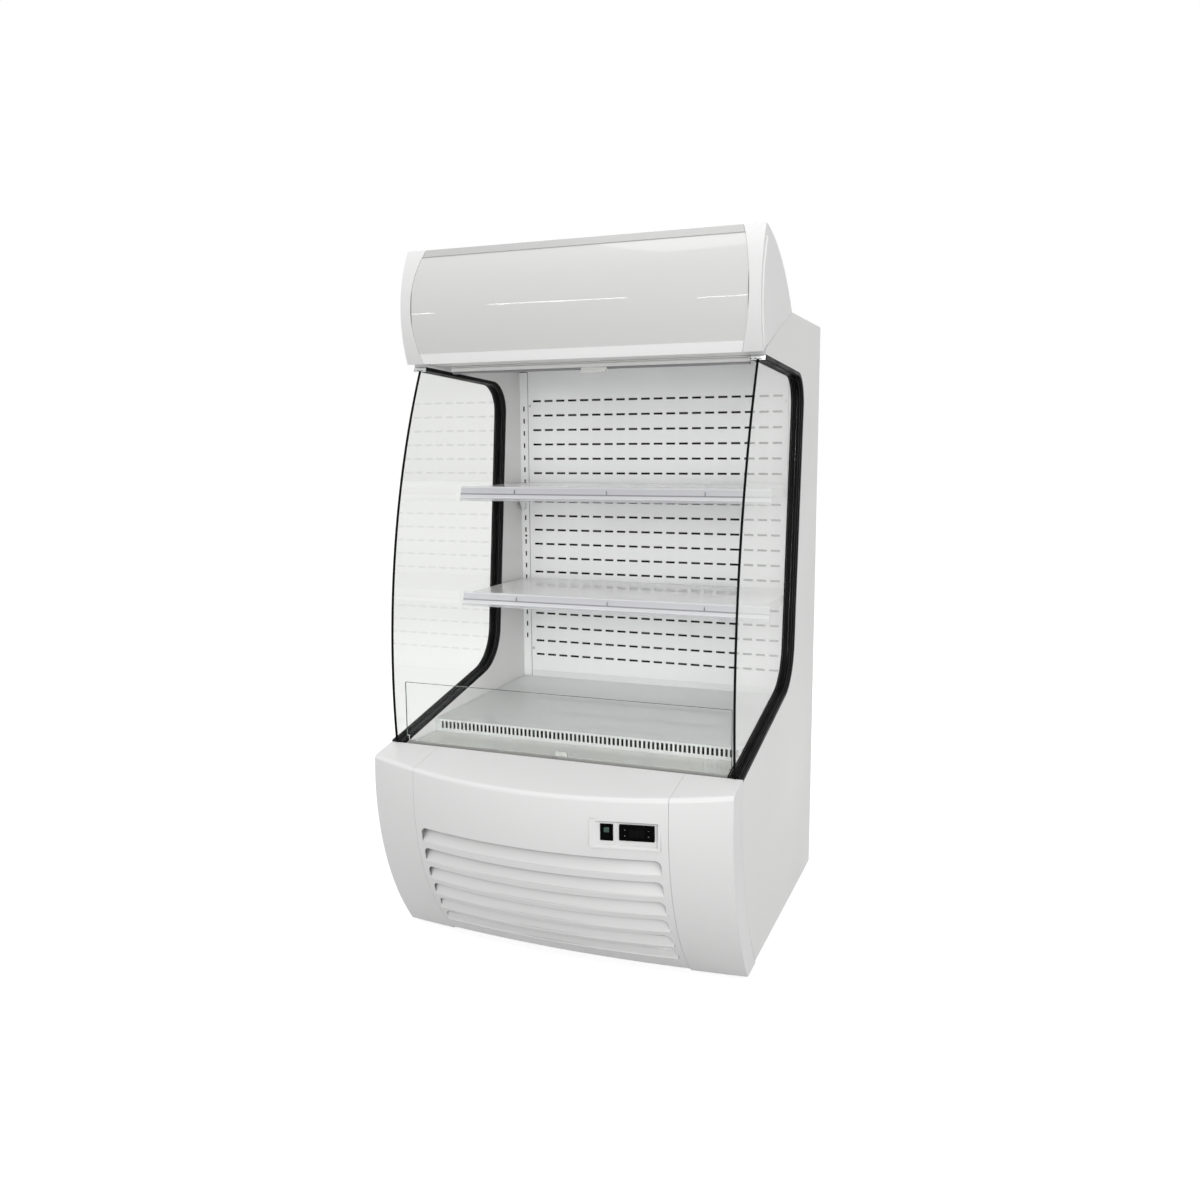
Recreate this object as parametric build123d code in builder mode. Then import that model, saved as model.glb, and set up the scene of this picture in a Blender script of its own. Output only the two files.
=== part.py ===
"""Open multideck display fridge, in millimetres.

Frame: +X to the right of someone facing the fridge, +Y to its rear, +Z up.
The origin is on the floor, under the middle of the outer size.
Depths are measured forward from the rear face, heights up from the floor.
"""

import os
from math import asin, cos, degrees, radians, sin, sqrt

from build123d import *

os.makedirs("parts", exist_ok=True)

# ---------------------------------------------------------------- driving dimensions
depth = 975.0  # rear face to the foremost point of the base front
cabinet_width = 900.0
wall = 36.0  # foamed side panel
cabinet_top = 1554.0
canopy_top = 1714.0
skirt_gap = 12.0  # floor to the lower edge of the base mouldings
panel_bottom = 18.0
sheet = 1.5  # folded sheet steel
seam = 0.6  # visible joint between two mouldings
fit_gap = 0.4  # clearance where one piece stands inside another

rear_y = depth / 2
half_width = cabinet_width / 2
inner_half = half_width - wall

# base front moulding: a raked arc that is fuller in the middle than at the sides
front_wall = 3.5
slope_depth = 811.0  # rear edge of the sloping top of the base front
slope_height = 507.0
slope_fall = 0.185  # fall per unit of depth
crease_radius = 12.0
middle_apex_depth = depth
middle_apex_height = 417.0
middle_radius = 507.0
side_apex_depth = 891.0
side_apex_height = 442.0
side_radius = 700.0
cap_seam_x = 317.0  # joint between the louvred panel and each corner cap
cap_side_width = 77.0  # how far a corner cap runs back along the side
louvred_bottom = 19.0

# louvres of the base front
louvre_count = 6
louvre_pitch = 54.0  # along the curved face
louvre_top_height = 343.0
louvre_open = 36.0
louvre_half_length = 300.0
louvre_corner = 15.0
louvre_depth = 15.0
louvre_blade = 2.6
louvre_slot = 7.0

# control pocket in the louvred panel, with the main switch and the controller on its floor
pocket_x = 223.9
pocket_height = 399.5
pocket_width = 151.5
pocket_tall = 61.0
pocket_floor_width = 128.0
pocket_floor_tall = 50.0
pocket_floor_shift = (5.2, 0.5)
pocket_depth = 7.0
pocket_yaw = 11.0
device_gap = 0.1  # bezel to pocket floor
cut_gap = 0.3  # device body to its cut-out, on each side
switch_shift = (-45.5, 3.0)  # from the middle of the pocket floor
switch_bezel = (29.0, 38.0)
switch_cut = (25.0, 34.0)
switch_mouth = (19.0, 28.0)
bezel_thick = 1.6
rocker_width = 18.2
rocker_half = 13.1
rocker_pin = 1.5
rocker_pivot = (0.0, -2.0)
controller_shift = (21.5, 4.7)
controller_bezel = (78.0, 36.0)
controller_cut = (71.0, 29.0)
controller_thick = 4.0
window_size = (40.0, 25.0)
window_recess = 0.8
key_columns = (-26.0, 26.0)
key_rows = (6.5, -6.5)
key_size = (6.6, 8.6)
key_gap = 0.4
key_rise = 0.6  # key front ahead of the bezel
key_tall = 2.2
key_well = 2.6  # depth of the well that a key moves in
shaft_clearance = 0.05

# opening in the side panels, glass and its black channel
opening_top_front = (648.0, 1434.5)
opening_top_rear = (203.0, 1413.8)
opening_low_rear = (283.0, 618.5)
opening_low_front = (slope_depth, slope_height - 5.5)
opening_top_radius = 78.0
opening_low_radius = 130.0
channel_thick = 9.0
channel_slot_depth = 6.0
channel_rib_width = 5.0
channel_rib_depth = 2.2
glass_thick = 4.0
glass_slack = 0.2  # glass to each wall of the channel's slot
glass_x = 432.0
glass_front_top = (644.0, 1433.0)
glass_front_middle = (797.8, 982.6)
glass_front_low = (815.0, 507.0)
edge_strip_depth = 2.8  # how far each leg of the strip reaches back over the glass
edge_strip_web = 1.2
edge_strip_width = 5.2

# low guard glass along the front
guard_depth = 790.0
guard_thick = 5.0
guard_top = 657.0
guard_half = 418.0

# canopy
canopy_front_top = (662.5, canopy_top)
canopy_front_middle = (705.6, 1578.0)
canopy_front_low = (681.0, 1439.0)
canopy_back_middle = (537.0, 1676.0)
canopy_back_low = (384.0, 1554.6)
rail_deep = 5.5  # thickness of the white extrusions round the light panel
canopy_wall = 4.0
canopy_emboss = 3.0
canopy_inner_half = half_width - canopy_wall
canopy_sheet_half = canopy_inner_half - 1.0
canopy_seam_depth = 616.0  # the canopy's front band ends and its rear sheet starts here
barrel_top = (399.0, canopy_top)
barrel_middle = (423.0, 1578.0)
barrel_low = (403.0, 1439.0)
diffuser_top = 1696.0
diffuser_low = 1463.0
diffuser_thick = 3.0
diffuser_recess = 1.5
underside_height = 1441.0
lamp_depth = 640.0
lamp_height = 1580.0
lamp_radius = 13.0
lamp_half = 380.0
emboss_front = ((659.0, 1688.0), (695.0, 1578.0), (674.0, 1446.0))
emboss_low = ((562.0, 1496.0), (484.0, 1552.0))
emboss_turn = ((471.5, 1578.0), (486.0, 1606.0))
emboss_back = (562.0, 1658.0)

# cold space
duct_panel_depth = 119.0
duct_panel_half = 387.0
ceiling_height = 1470.0
back_wall_front = 50.0
back_wall_rear = 8.0
foam = 42.0
roof_leg_front = 530.0
roof_leg_rear = 505.0
tank_bottom = 342.0
tank_ramp_depth = 600.0  # where the tank's floor starts to rise to the sill
slot_rows = 19
slot_columns = 20
slot_top_height = 1367.0
slot_row_pitch = 42.2
slot_column_pitch = 37.7
slot_length = 25.0
slot_tall = 4.2
upright_width = 26.0
upright_top = 1450.0
upright_slots = 20
upright_slot_top = 1345.0
upright_slot_pitch = 35.84
upright_slot_tall = 14.0
upright_slot_wide = 4.4
sill_height = slope_height - 8.0
riser_rise = 33.0  # sill to the front edge of the deck
deck_fall = 7.0
deck_front_height = sill_height + riser_rise
deck_rear_height = deck_front_height + deck_fall
riser_depth = 656.0
riser_slots = 70
riser_slot_pitch = 11.4
riser_slot_wide = 6.0
riser_slot_tall = 18.0
riser_slot_height = sill_height + riser_slot_tall
guard_notch_top = sill_height + 22.0

# shelves
shelf_heights = {"upper": 1128.0, "lower": 841.0}
shelf_half = 407.0
shelf_rear_gap = 6.0
shelf_front_depth = 468.0
shelf_lip = 30.0
rail_tall = 37.0
rail_lean = 11.0
rail_thick = 2.0
bracket_x = duct_panel_half + 1.0 + upright_width / 2
bracket_tall = 84.0
bracket_front_tall = 16.0
bracket_thick = 2.0
bracket_slots = {"upper": (7, 8), "lower": (15, 16)}

# night blind
blind_bar_depth = 555.0
blind_bar_height = 1432.0
blind_lean = 13.66  # degrees that its way down leans forward
blind_half = 392.0
roller_radius = 20.0
roller_pin = 5.0
blind_drop = 42.0  # bar to roller, along the way down
blind_cloth = 0.8

# machine compartment
base_plate_height = 58.0
foot_x = 350.0
foot_front_depth = 660.0
foot_rear_depth = 70.0
foot_radius = 22.0
foot_stem_radius = 6.0
foot_pad_tall = 7.0
foot_neck_tall = 10.0
compressor_x = 215.0
compressor_depth = 250.0
compressor_radius = 88.0
compressor_tall = 190.0
condenser_depth = 650.0
condenser_thick = 66.0
condenser_half = 165.0
condenser_low = 66.0
condenser_top = 330.0
condenser_fan_radius = 112.0
condenser_fan_height = 198.0
evaporator_half = 320.0
evaporator_front = 410.0
evaporator_rear = 190.0
evaporator_low = 392.0
evaporator_top = 500.0
fan_plate_depth = 470.0
evaporator_fan_x = 175.0
evaporator_fan_radius = 52.0
evaporator_fan_height = 458.0
condenser_shaft = 4.0
evaporator_shaft = 2.5
fan_gap = 4.0
fan_rake = 27.0
fan_blade_share = 0.56  # width of a blade at its root, per unit of fan radius
fan_flare = 0.6  # degrees that each side of a blade spreads outward
condenser_fan_depth = condenser_depth - condenser_thick / 2 - 42.0


# ---------------------------------------------------------------- helpers
def spot(forward, height):
    """Point of a side-view sketch: depth from the rear face, height from the floor."""
    return (rear_y - forward, height)


def side_plane(x):
    """Side-view sketch plane at this x: local x is +Y, local y is +Z."""
    return Plane.YZ.offset(x)


def front_plane(forward):
    """Front-view sketch plane at this depth: local x is +X, local y is +Z."""
    return Plane(origin=(0, rear_y - forward, 0), x_dir=(1, 0, 0), z_dir=(0, -1, 0))


def bow(x):
    """Share of the way from the middle of the base front to its side, at this x."""
    return (x / half_width) ** 2


def apex_depth(x):
    return middle_apex_depth + (side_apex_depth - middle_apex_depth) * bow(x)


def apex_height(x):
    return middle_apex_height + (side_apex_height - middle_apex_height) * bow(x)


def front_radius(x):
    return middle_radius + (side_radius - middle_radius) * bow(x)


def arc_depth(apex, radius, height_apex, height):
    """Depth of a raked arc at this height."""
    return apex - radius + sqrt(radius**2 - (height - height_apex) ** 2)


def face_depth(x, height):
    """Depth of the base front's outer face."""
    return arc_depth(apex_depth(x), front_radius(x), apex_height(x), height)


def slope_at(forward):
    """Height of the sloping top of the base front."""
    return slope_height - slope_fall * (forward - slope_depth)


def canopy_low_edge(forward):
    """Height of the canopy's straight lower edge at this depth."""
    run = canopy_front_low[0] - canopy_back_low[0]
    rise = canopy_back_low[1] - canopy_front_low[1]
    return canopy_front_low[1] + rise / run * (canopy_front_low[0] - forward)


def seam_depth(height):
    """Depth of the joint between the side panel and the corner cap."""
    return face_depth(half_width, height) - cap_side_width


def slope_between(rear, front):
    """Rise per unit of depth from one depth and height point to another."""
    return (front[1] - rear[1]) / (front[0] - rear[0])


def save(part, name):
    part.label = name
    export_step(part, f"parts/{name}.step")


sides = {"left": -1, "right": 1}

# ---------------------------------------------------------------- shared side-view faces
with BuildSketch(Plane.XY) as opening_outline:
    with BuildLine():
        contour = FilletPolyline(
            spot(*opening_top_front),
            spot(*opening_top_rear),
            spot(*opening_low_rear),
            spot(*opening_low_front),
            radius=[opening_top_radius, opening_low_radius],
        )
        far_front = 1100.0
        top_run = far_front - opening_top_front[0]
        low_run = far_front - opening_low_front[0]
        top_rise = slope_between(opening_top_rear, opening_top_front)
        low_rise = slope_between(opening_low_rear, opening_low_front)
        far_top = spot(far_front, opening_top_front[1] + top_rise * top_run)
        far_low = spot(far_front, opening_low_front[1] + low_rise * low_run)
        Polyline(contour @ 1, far_low, far_top, contour @ 0)
    make_face()


def opening_inset(amount):
    """The side opening's outline, moved inward all round."""
    with BuildSketch(Plane.XY) as inset:
        add(opening_outline.sketch)
        offset(amount=-amount, kind=Kind.INTERSECTION)
    return inset.sketch


def behind_glass_front(amount):
    """Everything behind the glass's curved front edge, moved back by this much."""
    with BuildSketch(Plane.XY) as zone:
        with BuildLine():
            edge = ThreePointArc(
                spot(glass_front_top[0] - amount, glass_front_top[1] + 12),
                spot(glass_front_middle[0] - amount, glass_front_middle[1]),
                spot(glass_front_low[0] - amount, glass_front_low[1] - 22),
            )
            Polyline(edge @ 1, spot(100, 480), spot(100, 1500), edge @ 0)
        make_face()
    return zone.sketch


opening_full = opening_inset(0)
channel_inside = opening_inset(channel_thick)
channel_rib_floor = opening_inset(channel_thick - channel_rib_depth)
channel_slot_floor = opening_inset(channel_thick - channel_slot_depth)
glass_outline = opening_inset(channel_thick - channel_slot_depth + fit_gap)
glass_zone = behind_glass_front(0)
glass_strip_zone = behind_glass_front(edge_strip_web + 0.1)
strip_hollow_zone = behind_glass_front(edge_strip_web)
strip_rear_zone = behind_glass_front(edge_strip_depth)


def circle_through(first, middle, last):
    """Centre and radius of the arc through three depth and height points."""
    arc = ThreePointArc(first, middle, last)
    return (arc.arc_center.X, arc.arc_center.Y), arc.radius


def canopy_zone(amount):
    """Side-view outline of the canopy, moved inward: two arcs over a straight lower edge."""
    front_centre, front_arc_radius = circle_through(canopy_front_top, canopy_front_middle, canopy_front_low)
    back_centre, back_arc_radius = circle_through(canopy_front_top, canopy_back_middle, canopy_back_low)
    run = canopy_front_low[0] - canopy_back_low[0]
    rise = canopy_back_low[1] - canopy_front_low[1]
    lift = amount * sqrt(run**2 + rise**2) / run
    reach = 200.0
    with BuildSketch(Plane.XY) as zone:
        with Locations(spot(*front_centre)):
            Circle(front_arc_radius - amount)
        with Locations(spot(*back_centre)):
            Circle(back_arc_radius - amount, mode=Mode.INTERSECT)
        with BuildLine():
            Polyline(
                spot(canopy_front_low[0] + reach, canopy_front_low[1] - rise / run * reach + lift),
                spot(canopy_back_low[0] - reach, canopy_back_low[1] + rise / run * reach + lift),
                spot(canopy_back_low[0] - reach, canopy_top + reach),
                spot(canopy_front_low[0] + reach, canopy_top + reach),
                close=True,
            )
        make_face(mode=Mode.INTERSECT)
    return zone.sketch


def barrel_zone(amount):
    """Front-view outline of the light panel's mouth, moved inward: bulging sides, open ends."""
    over = 30.0
    top_x = barrel_top[0] - amount
    low_x = barrel_low[0] - amount
    middle_x = barrel_middle[0] - amount
    with BuildSketch(Plane.XY) as zone:
        with BuildLine():
            ThreePointArc((low_x, barrel_low[1]), (middle_x, barrel_middle[1]), (top_x, barrel_top[1]))
            Polyline(
                (top_x, barrel_top[1]),
                (top_x, canopy_top + over),
                (-top_x, canopy_top + over),
                (-top_x, barrel_top[1]),
            )
            ThreePointArc((-top_x, barrel_top[1]), (-middle_x, barrel_middle[1]), (-low_x, barrel_low[1]))
            Polyline(
                (-low_x, barrel_low[1]),
                (-low_x, barrel_low[1] - over),
                (low_x, barrel_low[1] - over),
                (low_x, barrel_low[1]),
            )
        make_face()
    return zone.sketch


canopy_full = canopy_zone(0)
canopy_grown = canopy_zone(-seam)
canopy_inside = canopy_zone(canopy_wall)
canopy_diffuser_outer = canopy_zone(diffuser_recess)
canopy_diffuser_inner = canopy_zone(diffuser_recess + diffuser_thick)
canopy_rail_inner = canopy_zone(rail_deep)
canopy_sheet_outer = canopy_zone(canopy_wall + fit_gap)
canopy_sheet_inner = canopy_zone(canopy_wall + fit_gap + sheet)
with BuildSketch(Plane.XY) as above_low_edge:
    add(canopy_full)
    rear_point = canopy_back_low[0] - 20
    front_point = canopy_front_low[0] + 20
    with BuildLine():
        Polyline(
            spot(front_point, canopy_low_edge(front_point) + 14),
            spot(rear_point, canopy_low_edge(rear_point) + 14),
            spot(rear_point, canopy_top + 20),
            spot(front_point + 40, canopy_top + 20),
            close=True,
        )
    make_face(mode=Mode.INTERSECT)
canopy_zone_low = above_low_edge.sketch
barrel_full = barrel_zone(0)
barrel_inside = barrel_zone(seam)


# ---------------------------------------------------------------- cabinet shell
def make_side_panel(side):
    """Foamed side panel, open at the front for the side glass."""
    with BuildPart() as panel:
        with BuildSketch(side_plane(side * inner_half)):
            with BuildLine():
                rear = Polyline(
                    spot(0, panel_bottom), spot(0, cabinet_top), spot(canopy_back_low[0], cabinet_top)
                )
                step = canopy_seam_depth - 4
                shoulder = Polyline(
                    rear @ 1,
                    spot(470, cabinet_top),
                    spot(step, canopy_low_edge(step) + 20),
                    spot(step, canopy_low_edge(step) - 2 * seam),
                    spot(opening_top_front[0], canopy_low_edge(opening_top_front[0]) - 2 * seam),
                    spot(*opening_top_front),
                )
                inside = FilletPolyline(
                    shoulder @ 1,
                    spot(*opening_top_rear),
                    spot(*opening_low_rear),
                    spot(*opening_low_front),
                    radius=[opening_top_radius, opening_low_radius],
                )
                joint = ThreePointArc(
                    inside @ 1,
                    spot(seam_depth(250) - seam, 250),
                    spot(seam_depth(panel_bottom) - seam, panel_bottom),
                )
                Line(joint @ 1, rear @ 0)
            make_face()
        extrude(amount=side * wall)
        with BuildSketch(side_plane(side * (canopy_inner_half - fit_gap))):
            add(canopy_grown)
        extrude(amount=side * (canopy_wall + fit_gap + 1), mode=Mode.SUBTRACT)
    return panel.part


def make_channel(side):
    """Black rubber channel round the side opening, with a slot for the glass."""
    with BuildPart() as channel:
        with BuildSketch(side_plane(side * inner_half)):
            add(opening_full)
            add(channel_inside, mode=Mode.SUBTRACT)
            add(glass_zone, mode=Mode.INTERSECT)
            with Locations(spot(slope_depth - fit_gap - 400, 1000)):
                Rectangle(800, 1200, mode=Mode.INTERSECT)
        extrude(amount=side * wall)
        slot_half = glass_thick / 2 + glass_slack
        with BuildSketch(side_plane(side * (glass_x - slot_half))):
            add(channel_slot_floor)
        extrude(amount=side * 2 * slot_half, mode=Mode.SUBTRACT)
        for rib_x in (inner_half + 4.0, half_width - 4.0 - channel_rib_width):
            with BuildSketch(side_plane(side * rib_x)):
                add(channel_rib_floor)
            extrude(amount=side * channel_rib_width, mode=Mode.SUBTRACT)
    return channel.part


def make_side_glass(side):
    """Side glass with its curved front edge."""
    with BuildPart() as glass:
        with BuildSketch(side_plane(side * (glass_x - glass_thick / 2))):
            add(glass_outline)
            add(glass_strip_zone, mode=Mode.INTERSECT)
            with Locations(spot(slope_depth - fit_gap + 50, slope_height + fit_gap - 50)):
                Rectangle(100, 100, mode=Mode.SUBTRACT)
        extrude(amount=side * glass_thick)
    return glass.part


def make_edge_strips():
    """Black strips that cap the front edges of both side glasses."""
    with BuildPart() as strips:
        for side in (-1, 1):
            with BuildSketch(side_plane(side * (glass_x - edge_strip_width / 2))):
                add(channel_inside)
                add(glass_zone, mode=Mode.INTERSECT)
                add(strip_rear_zone, mode=Mode.SUBTRACT)
            extrude(amount=side * edge_strip_width)
            with BuildSketch(side_plane(side * (glass_x - glass_thick / 2 - 0.1))):
                add(glass_outline)
                add(strip_hollow_zone, mode=Mode.INTERSECT)
            extrude(amount=side * (glass_thick + 0.2), mode=Mode.SUBTRACT)
    return strips.part


def make_back_wall():
    """Foamed rear wall between the side panels."""
    with BuildPart() as back:
        with BuildSketch(side_plane(-inner_half)):
            with BuildLine():
                Polyline(
                    spot(back_wall_rear, tank_bottom),
                    spot(back_wall_rear, cabinet_top - foam),
                    spot(back_wall_front, cabinet_top - foam),
                    spot(back_wall_front, tank_bottom),
                    close=True,
                )
            make_face()
        extrude(amount=2 * inner_half)
    return back.part


def make_tank():
    """Foamed floor of the cold space, with its raised front."""
    with BuildPart() as tank:
        with BuildSketch(side_plane(-inner_half)):
            with BuildLine():
                Polyline(
                    spot(back_wall_front, tank_bottom),
                    spot(back_wall_front, tank_bottom + foam + 4),
                    spot(back_wall_front + 60, tank_bottom + foam),
                    spot(tank_ramp_depth, tank_bottom + foam),
                    spot(riser_depth - 10, sill_height - 12),
                    spot(riser_depth, sill_height - sheet),
                    spot(slope_depth - 15, sill_height - sheet),
                    spot(slope_depth - 15, tank_bottom + 70),
                    spot(700, tank_bottom),
                    close=True,
                )
            make_face()
        extrude(amount=2 * inner_half)
        with Locations((0, rear_y - 300, tank_bottom + 20)):
            Cylinder(14, 60, mode=Mode.SUBTRACT)
    return tank.part


def make_roof():
    """Foamed roof with its front leg, which shapes the air path down to the outlet."""
    with BuildPart() as roof:
        with BuildSketch(side_plane(-inner_half)):
            with BuildLine():
                Polyline(
                    spot(back_wall_rear, cabinet_top - foam),
                    spot(back_wall_rear, cabinet_top),
                    spot(canopy_back_low[0] + 4, cabinet_top),
                    spot(470, cabinet_top - 14),
                    spot(roof_leg_front, cabinet_top - 44),
                    spot(roof_leg_front, underside_height + sheet),
                    spot(roof_leg_rear, underside_height + sheet),
                    spot(roof_leg_rear, cabinet_top - foam - 20),
                    spot(480, cabinet_top - foam),
                    close=True,
                )
            make_face()
        extrude(amount=2 * inner_half)
    return roof.part


def make_ceiling():
    """Inner ceiling sheet between the duct panel and the air outlet."""
    with BuildPart() as ceiling:
        with BuildSketch(side_plane(-inner_half + fit_gap)):
            with BuildLine():
                Polyline(
                    spot(duct_panel_depth - 16, ceiling_height + sheet),
                    spot(duct_panel_depth - 16, ceiling_height),
                    spot(448, ceiling_height - 6),
                    spot(448, underside_height - 5),
                    spot(449.5, underside_height - 5),
                    spot(449.5, ceiling_height - 6 + sheet),
                    close=True,
                )
            make_face()
        extrude(amount=2 * (inner_half - fit_gap))
    return ceiling.part


def make_air_outlet():
    """Black cellular grille that the cold air curtain falls from."""
    grille_rear = 449.9
    grille_front = roof_leg_rear - fit_gap
    grille_tall = 14.0
    cells = 26
    cell_pitch = 31.0
    with BuildPart() as outlet:
        middle_y = rear_y - (grille_rear + grille_front) / 2
        with Locations((0, middle_y, underside_height - 4 + grille_tall / 2)):
            Box(2 * (inner_half - fit_gap), grille_front - grille_rear, grille_tall)
            with GridLocations(cell_pitch, 10, cells, 1):
                Box(cell_pitch - 4, grille_front - grille_rear - 8, grille_tall + 2, mode=Mode.SUBTRACT)
    return outlet.part


# ---------------------------------------------------------------- cold space
def make_duct_panel():
    """Perforated rear panel: rows of air slots over its whole height."""
    low = deck_rear_height - 6
    tall = ceiling_height - 1 - low
    with BuildPart() as panel:
        with BuildSketch(front_plane(duct_panel_depth - sheet)):
            with Locations((0, low + tall / 2)):
                Rectangle(2 * duct_panel_half, tall)
            slots_middle = slot_top_height - slot_row_pitch * (slot_rows - 1) / 2
            with Locations((0, slots_middle)):
                with GridLocations(slot_column_pitch, slot_row_pitch, slot_columns, slot_rows):
                    Rectangle(slot_length, slot_tall, mode=Mode.SUBTRACT)
        extrude(amount=sheet)
        for side in (-1, 1):
            edge_x = side * (duct_panel_half - sheet / 2)
            with Locations((edge_x, rear_y - (duct_panel_depth - sheet) + 6, low + tall / 2)):
                Box(sheet, 12, tall)
    return panel.part


def make_uprights():
    """Slotted shelf uprights, folded to a channel that stands on the rear wall."""
    low = deck_rear_height - 6
    tall = upright_top - low
    with BuildPart() as uprights:
        for side in (-1, 1):
            middle_x = side * bracket_x
            with BuildSketch(Plane.XY.offset(low)):
                with BuildLine():
                    edge = upright_width / 2 - 0.3
                    Polyline(
                        (middle_x - edge, rear_y - back_wall_front),
                        (middle_x - edge, rear_y - duct_panel_depth),
                        (middle_x + edge, rear_y - duct_panel_depth),
                        (middle_x + edge, rear_y - back_wall_front),
                        (middle_x + edge - 2, rear_y - back_wall_front),
                        (middle_x + edge - 2, rear_y - duct_panel_depth + 2),
                        (middle_x - edge + 2, rear_y - duct_panel_depth + 2),
                        (middle_x - edge + 2, rear_y - back_wall_front),
                        close=True,
                    )
                make_face()
            extrude(amount=tall)
            slots_middle = upright_slot_top - upright_slot_pitch * (upright_slots - 1) / 2
            with BuildSketch(front_plane(duct_panel_depth - 4)):
                with Locations((middle_x, slots_middle)):
                    with GridLocations(1, upright_slot_pitch, 1, upright_slots):
                        Rectangle(upright_slot_wide, upright_slot_tall)
            extrude(amount=8, mode=Mode.SUBTRACT)
    return uprights.part


def make_deck():
    """Deck tray over the evaporator, falling a little to the front."""
    with BuildPart() as deck:
        with BuildSketch(side_plane(-inner_half + 1)):
            with BuildLine():
                Polyline(
                    spot(duct_panel_depth + 0.5, deck_rear_height + 18),
                    spot(duct_panel_depth + 0.5 + sheet, deck_rear_height + 18),
                    spot(duct_panel_depth + 0.5 + sheet, deck_rear_height),
                    spot(riser_depth + sheet, deck_front_height),
                    spot(riser_depth + sheet, deck_front_height - 3),
                    spot(riser_depth, deck_front_height - 3),
                    spot(riser_depth, deck_front_height - sheet),
                    spot(duct_panel_depth + 0.5, deck_rear_height - sheet),
                    close=True,
                )
            make_face()
        extrude(amount=2 * (inner_half - 1))
        with BuildSketch(Plane.XZ.offset(-(rear_y - duct_panel_depth - 10))):
            for side in (-1, 1):
                with Locations((side * bracket_x, deck_rear_height + 10)):
                    Rectangle(upright_width + 4, 24)
        extrude(amount=-20, mode=Mode.SUBTRACT)
    return deck.part


def make_return_grille():
    """Upright air return grille under the front edge of the deck."""
    low = sill_height
    top = deck_front_height - sheet - 0.2
    with BuildPart() as grille:
        with BuildSketch(front_plane(riser_depth - 1.9)):
            with Locations((0, (low + top) / 2)):
                Rectangle(2 * (inner_half - 1), top - low)
            with Locations((0, riser_slot_height)):
                with GridLocations(riser_slot_pitch, 1, riser_slots, 1):
                    Rectangle(riser_slot_wide, riser_slot_tall, mode=Mode.SUBTRACT)
        extrude(amount=sheet)
    return grille.part


def make_sill_plate():
    """Sheet from the return grille to the base front, folded up to hold the guard glass."""
    half = inner_half - 1
    rear_lip = guard_depth - guard_thick / 2 - 0.3
    front_lip = guard_depth + guard_thick / 2 + 0.3
    with BuildPart() as sill:
        with BuildSketch(side_plane(-half)):
            with BuildLine():
                Polyline(
                    spot(riser_depth - 8, sill_height - sheet),
                    spot(riser_depth - 8, sill_height - 0.1),
                    spot(rear_lip - sheet, sill_height - 0.1),
                    spot(rear_lip - sheet, sill_height + 9),
                    spot(rear_lip, sill_height + 9),
                    spot(rear_lip, sill_height - 0.1),
                    spot(front_lip, sill_height - 0.1),
                    spot(front_lip, sill_height + 9),
                    spot(front_lip + sheet, sill_height + 9),
                    spot(front_lip + sheet, sill_height - sheet),
                    close=True,
                )
            make_face()
        extrude(amount=2 * half)
        with BuildSketch(side_plane(-14)):
            with BuildLine():
                Polyline(
                    spot(rear_lip - sheet, sill_height),
                    spot(rear_lip - sheet - 9, sill_height),
                    spot(rear_lip - sheet - 9, sill_height + 14),
                    spot(rear_lip - sheet - 4, sill_height + 18),
                    spot(rear_lip - sheet - 4, sill_height + 10),
                    spot(rear_lip - sheet, sill_height + 9),
                    close=True,
                )
            make_face()
        extrude(amount=28)
    return sill.part


def make_guard_glass():
    """Low flat glass along the front, notched at its feet for the channels."""
    low = sill_height + 0.1
    with BuildPart() as guard:
        with BuildSketch(front_plane(guard_depth - guard_thick / 2)):
            with BuildLine():
                foot = inner_half - 2
                Polyline(
                    (-foot, low),
                    (-foot, guard_notch_top),
                    (-guard_half, guard_notch_top),
                    (-guard_half, guard_top),
                    (guard_half, guard_top),
                    (guard_half, guard_notch_top),
                    (foot, guard_notch_top),
                    (foot, low),
                    close=True,
                )
            make_face()
        extrude(amount=guard_thick)
    return guard.part


# ---------------------------------------------------------------- shelves
def make_shelf(height):
    """Folded shelf plate: level top, turned-down sides and front."""
    rear = duct_panel_depth + shelf_rear_gap
    length = shelf_front_depth - rear
    middle_y = rear_y - (rear + shelf_front_depth) / 2
    with BuildPart() as shelf:
        with Locations((0, middle_y, height - sheet / 2)):
            Box(2 * shelf_half, length, sheet)
        for side in (-1, 1):
            with Locations((side * (shelf_half - 0.6), middle_y, height - 9)):
                Box(1.2, length, 18)
        with Locations((0, rear_y - shelf_front_depth + sheet / 2, height - shelf_lip / 2)):
            Box(2 * shelf_half, sheet, shelf_lip)
        with Locations((0, rear_y - rear - sheet / 2, height - 8)):
            Box(2 * (shelf_half - 12), sheet, 16)
    return shelf.part


def make_price_rail(height):
    """Clear ticket strip that leans out from the shelf's front lip."""
    top = height + 2
    low = top - rail_tall
    front = shelf_front_depth
    with BuildPart() as rail:
        with BuildSketch(side_plane(-shelf_half - 2)):
            with BuildLine():
                Polyline(
                    spot(front, height - 3),
                    spot(front, top - 1),
                    spot(front + rail_thick, top),
                    spot(front + rail_lean + rail_thick, low),
                    spot(front + rail_lean - 7, low - 2),
                    spot(front + rail_lean - 7, low),
                    spot(front + rail_lean, low + rail_thick),
                    spot(front + rail_thick, height - 4),
                    close=True,
                )
            make_face()
        extrude(amount=2 * (shelf_half + 2))
    return rail.part


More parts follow.
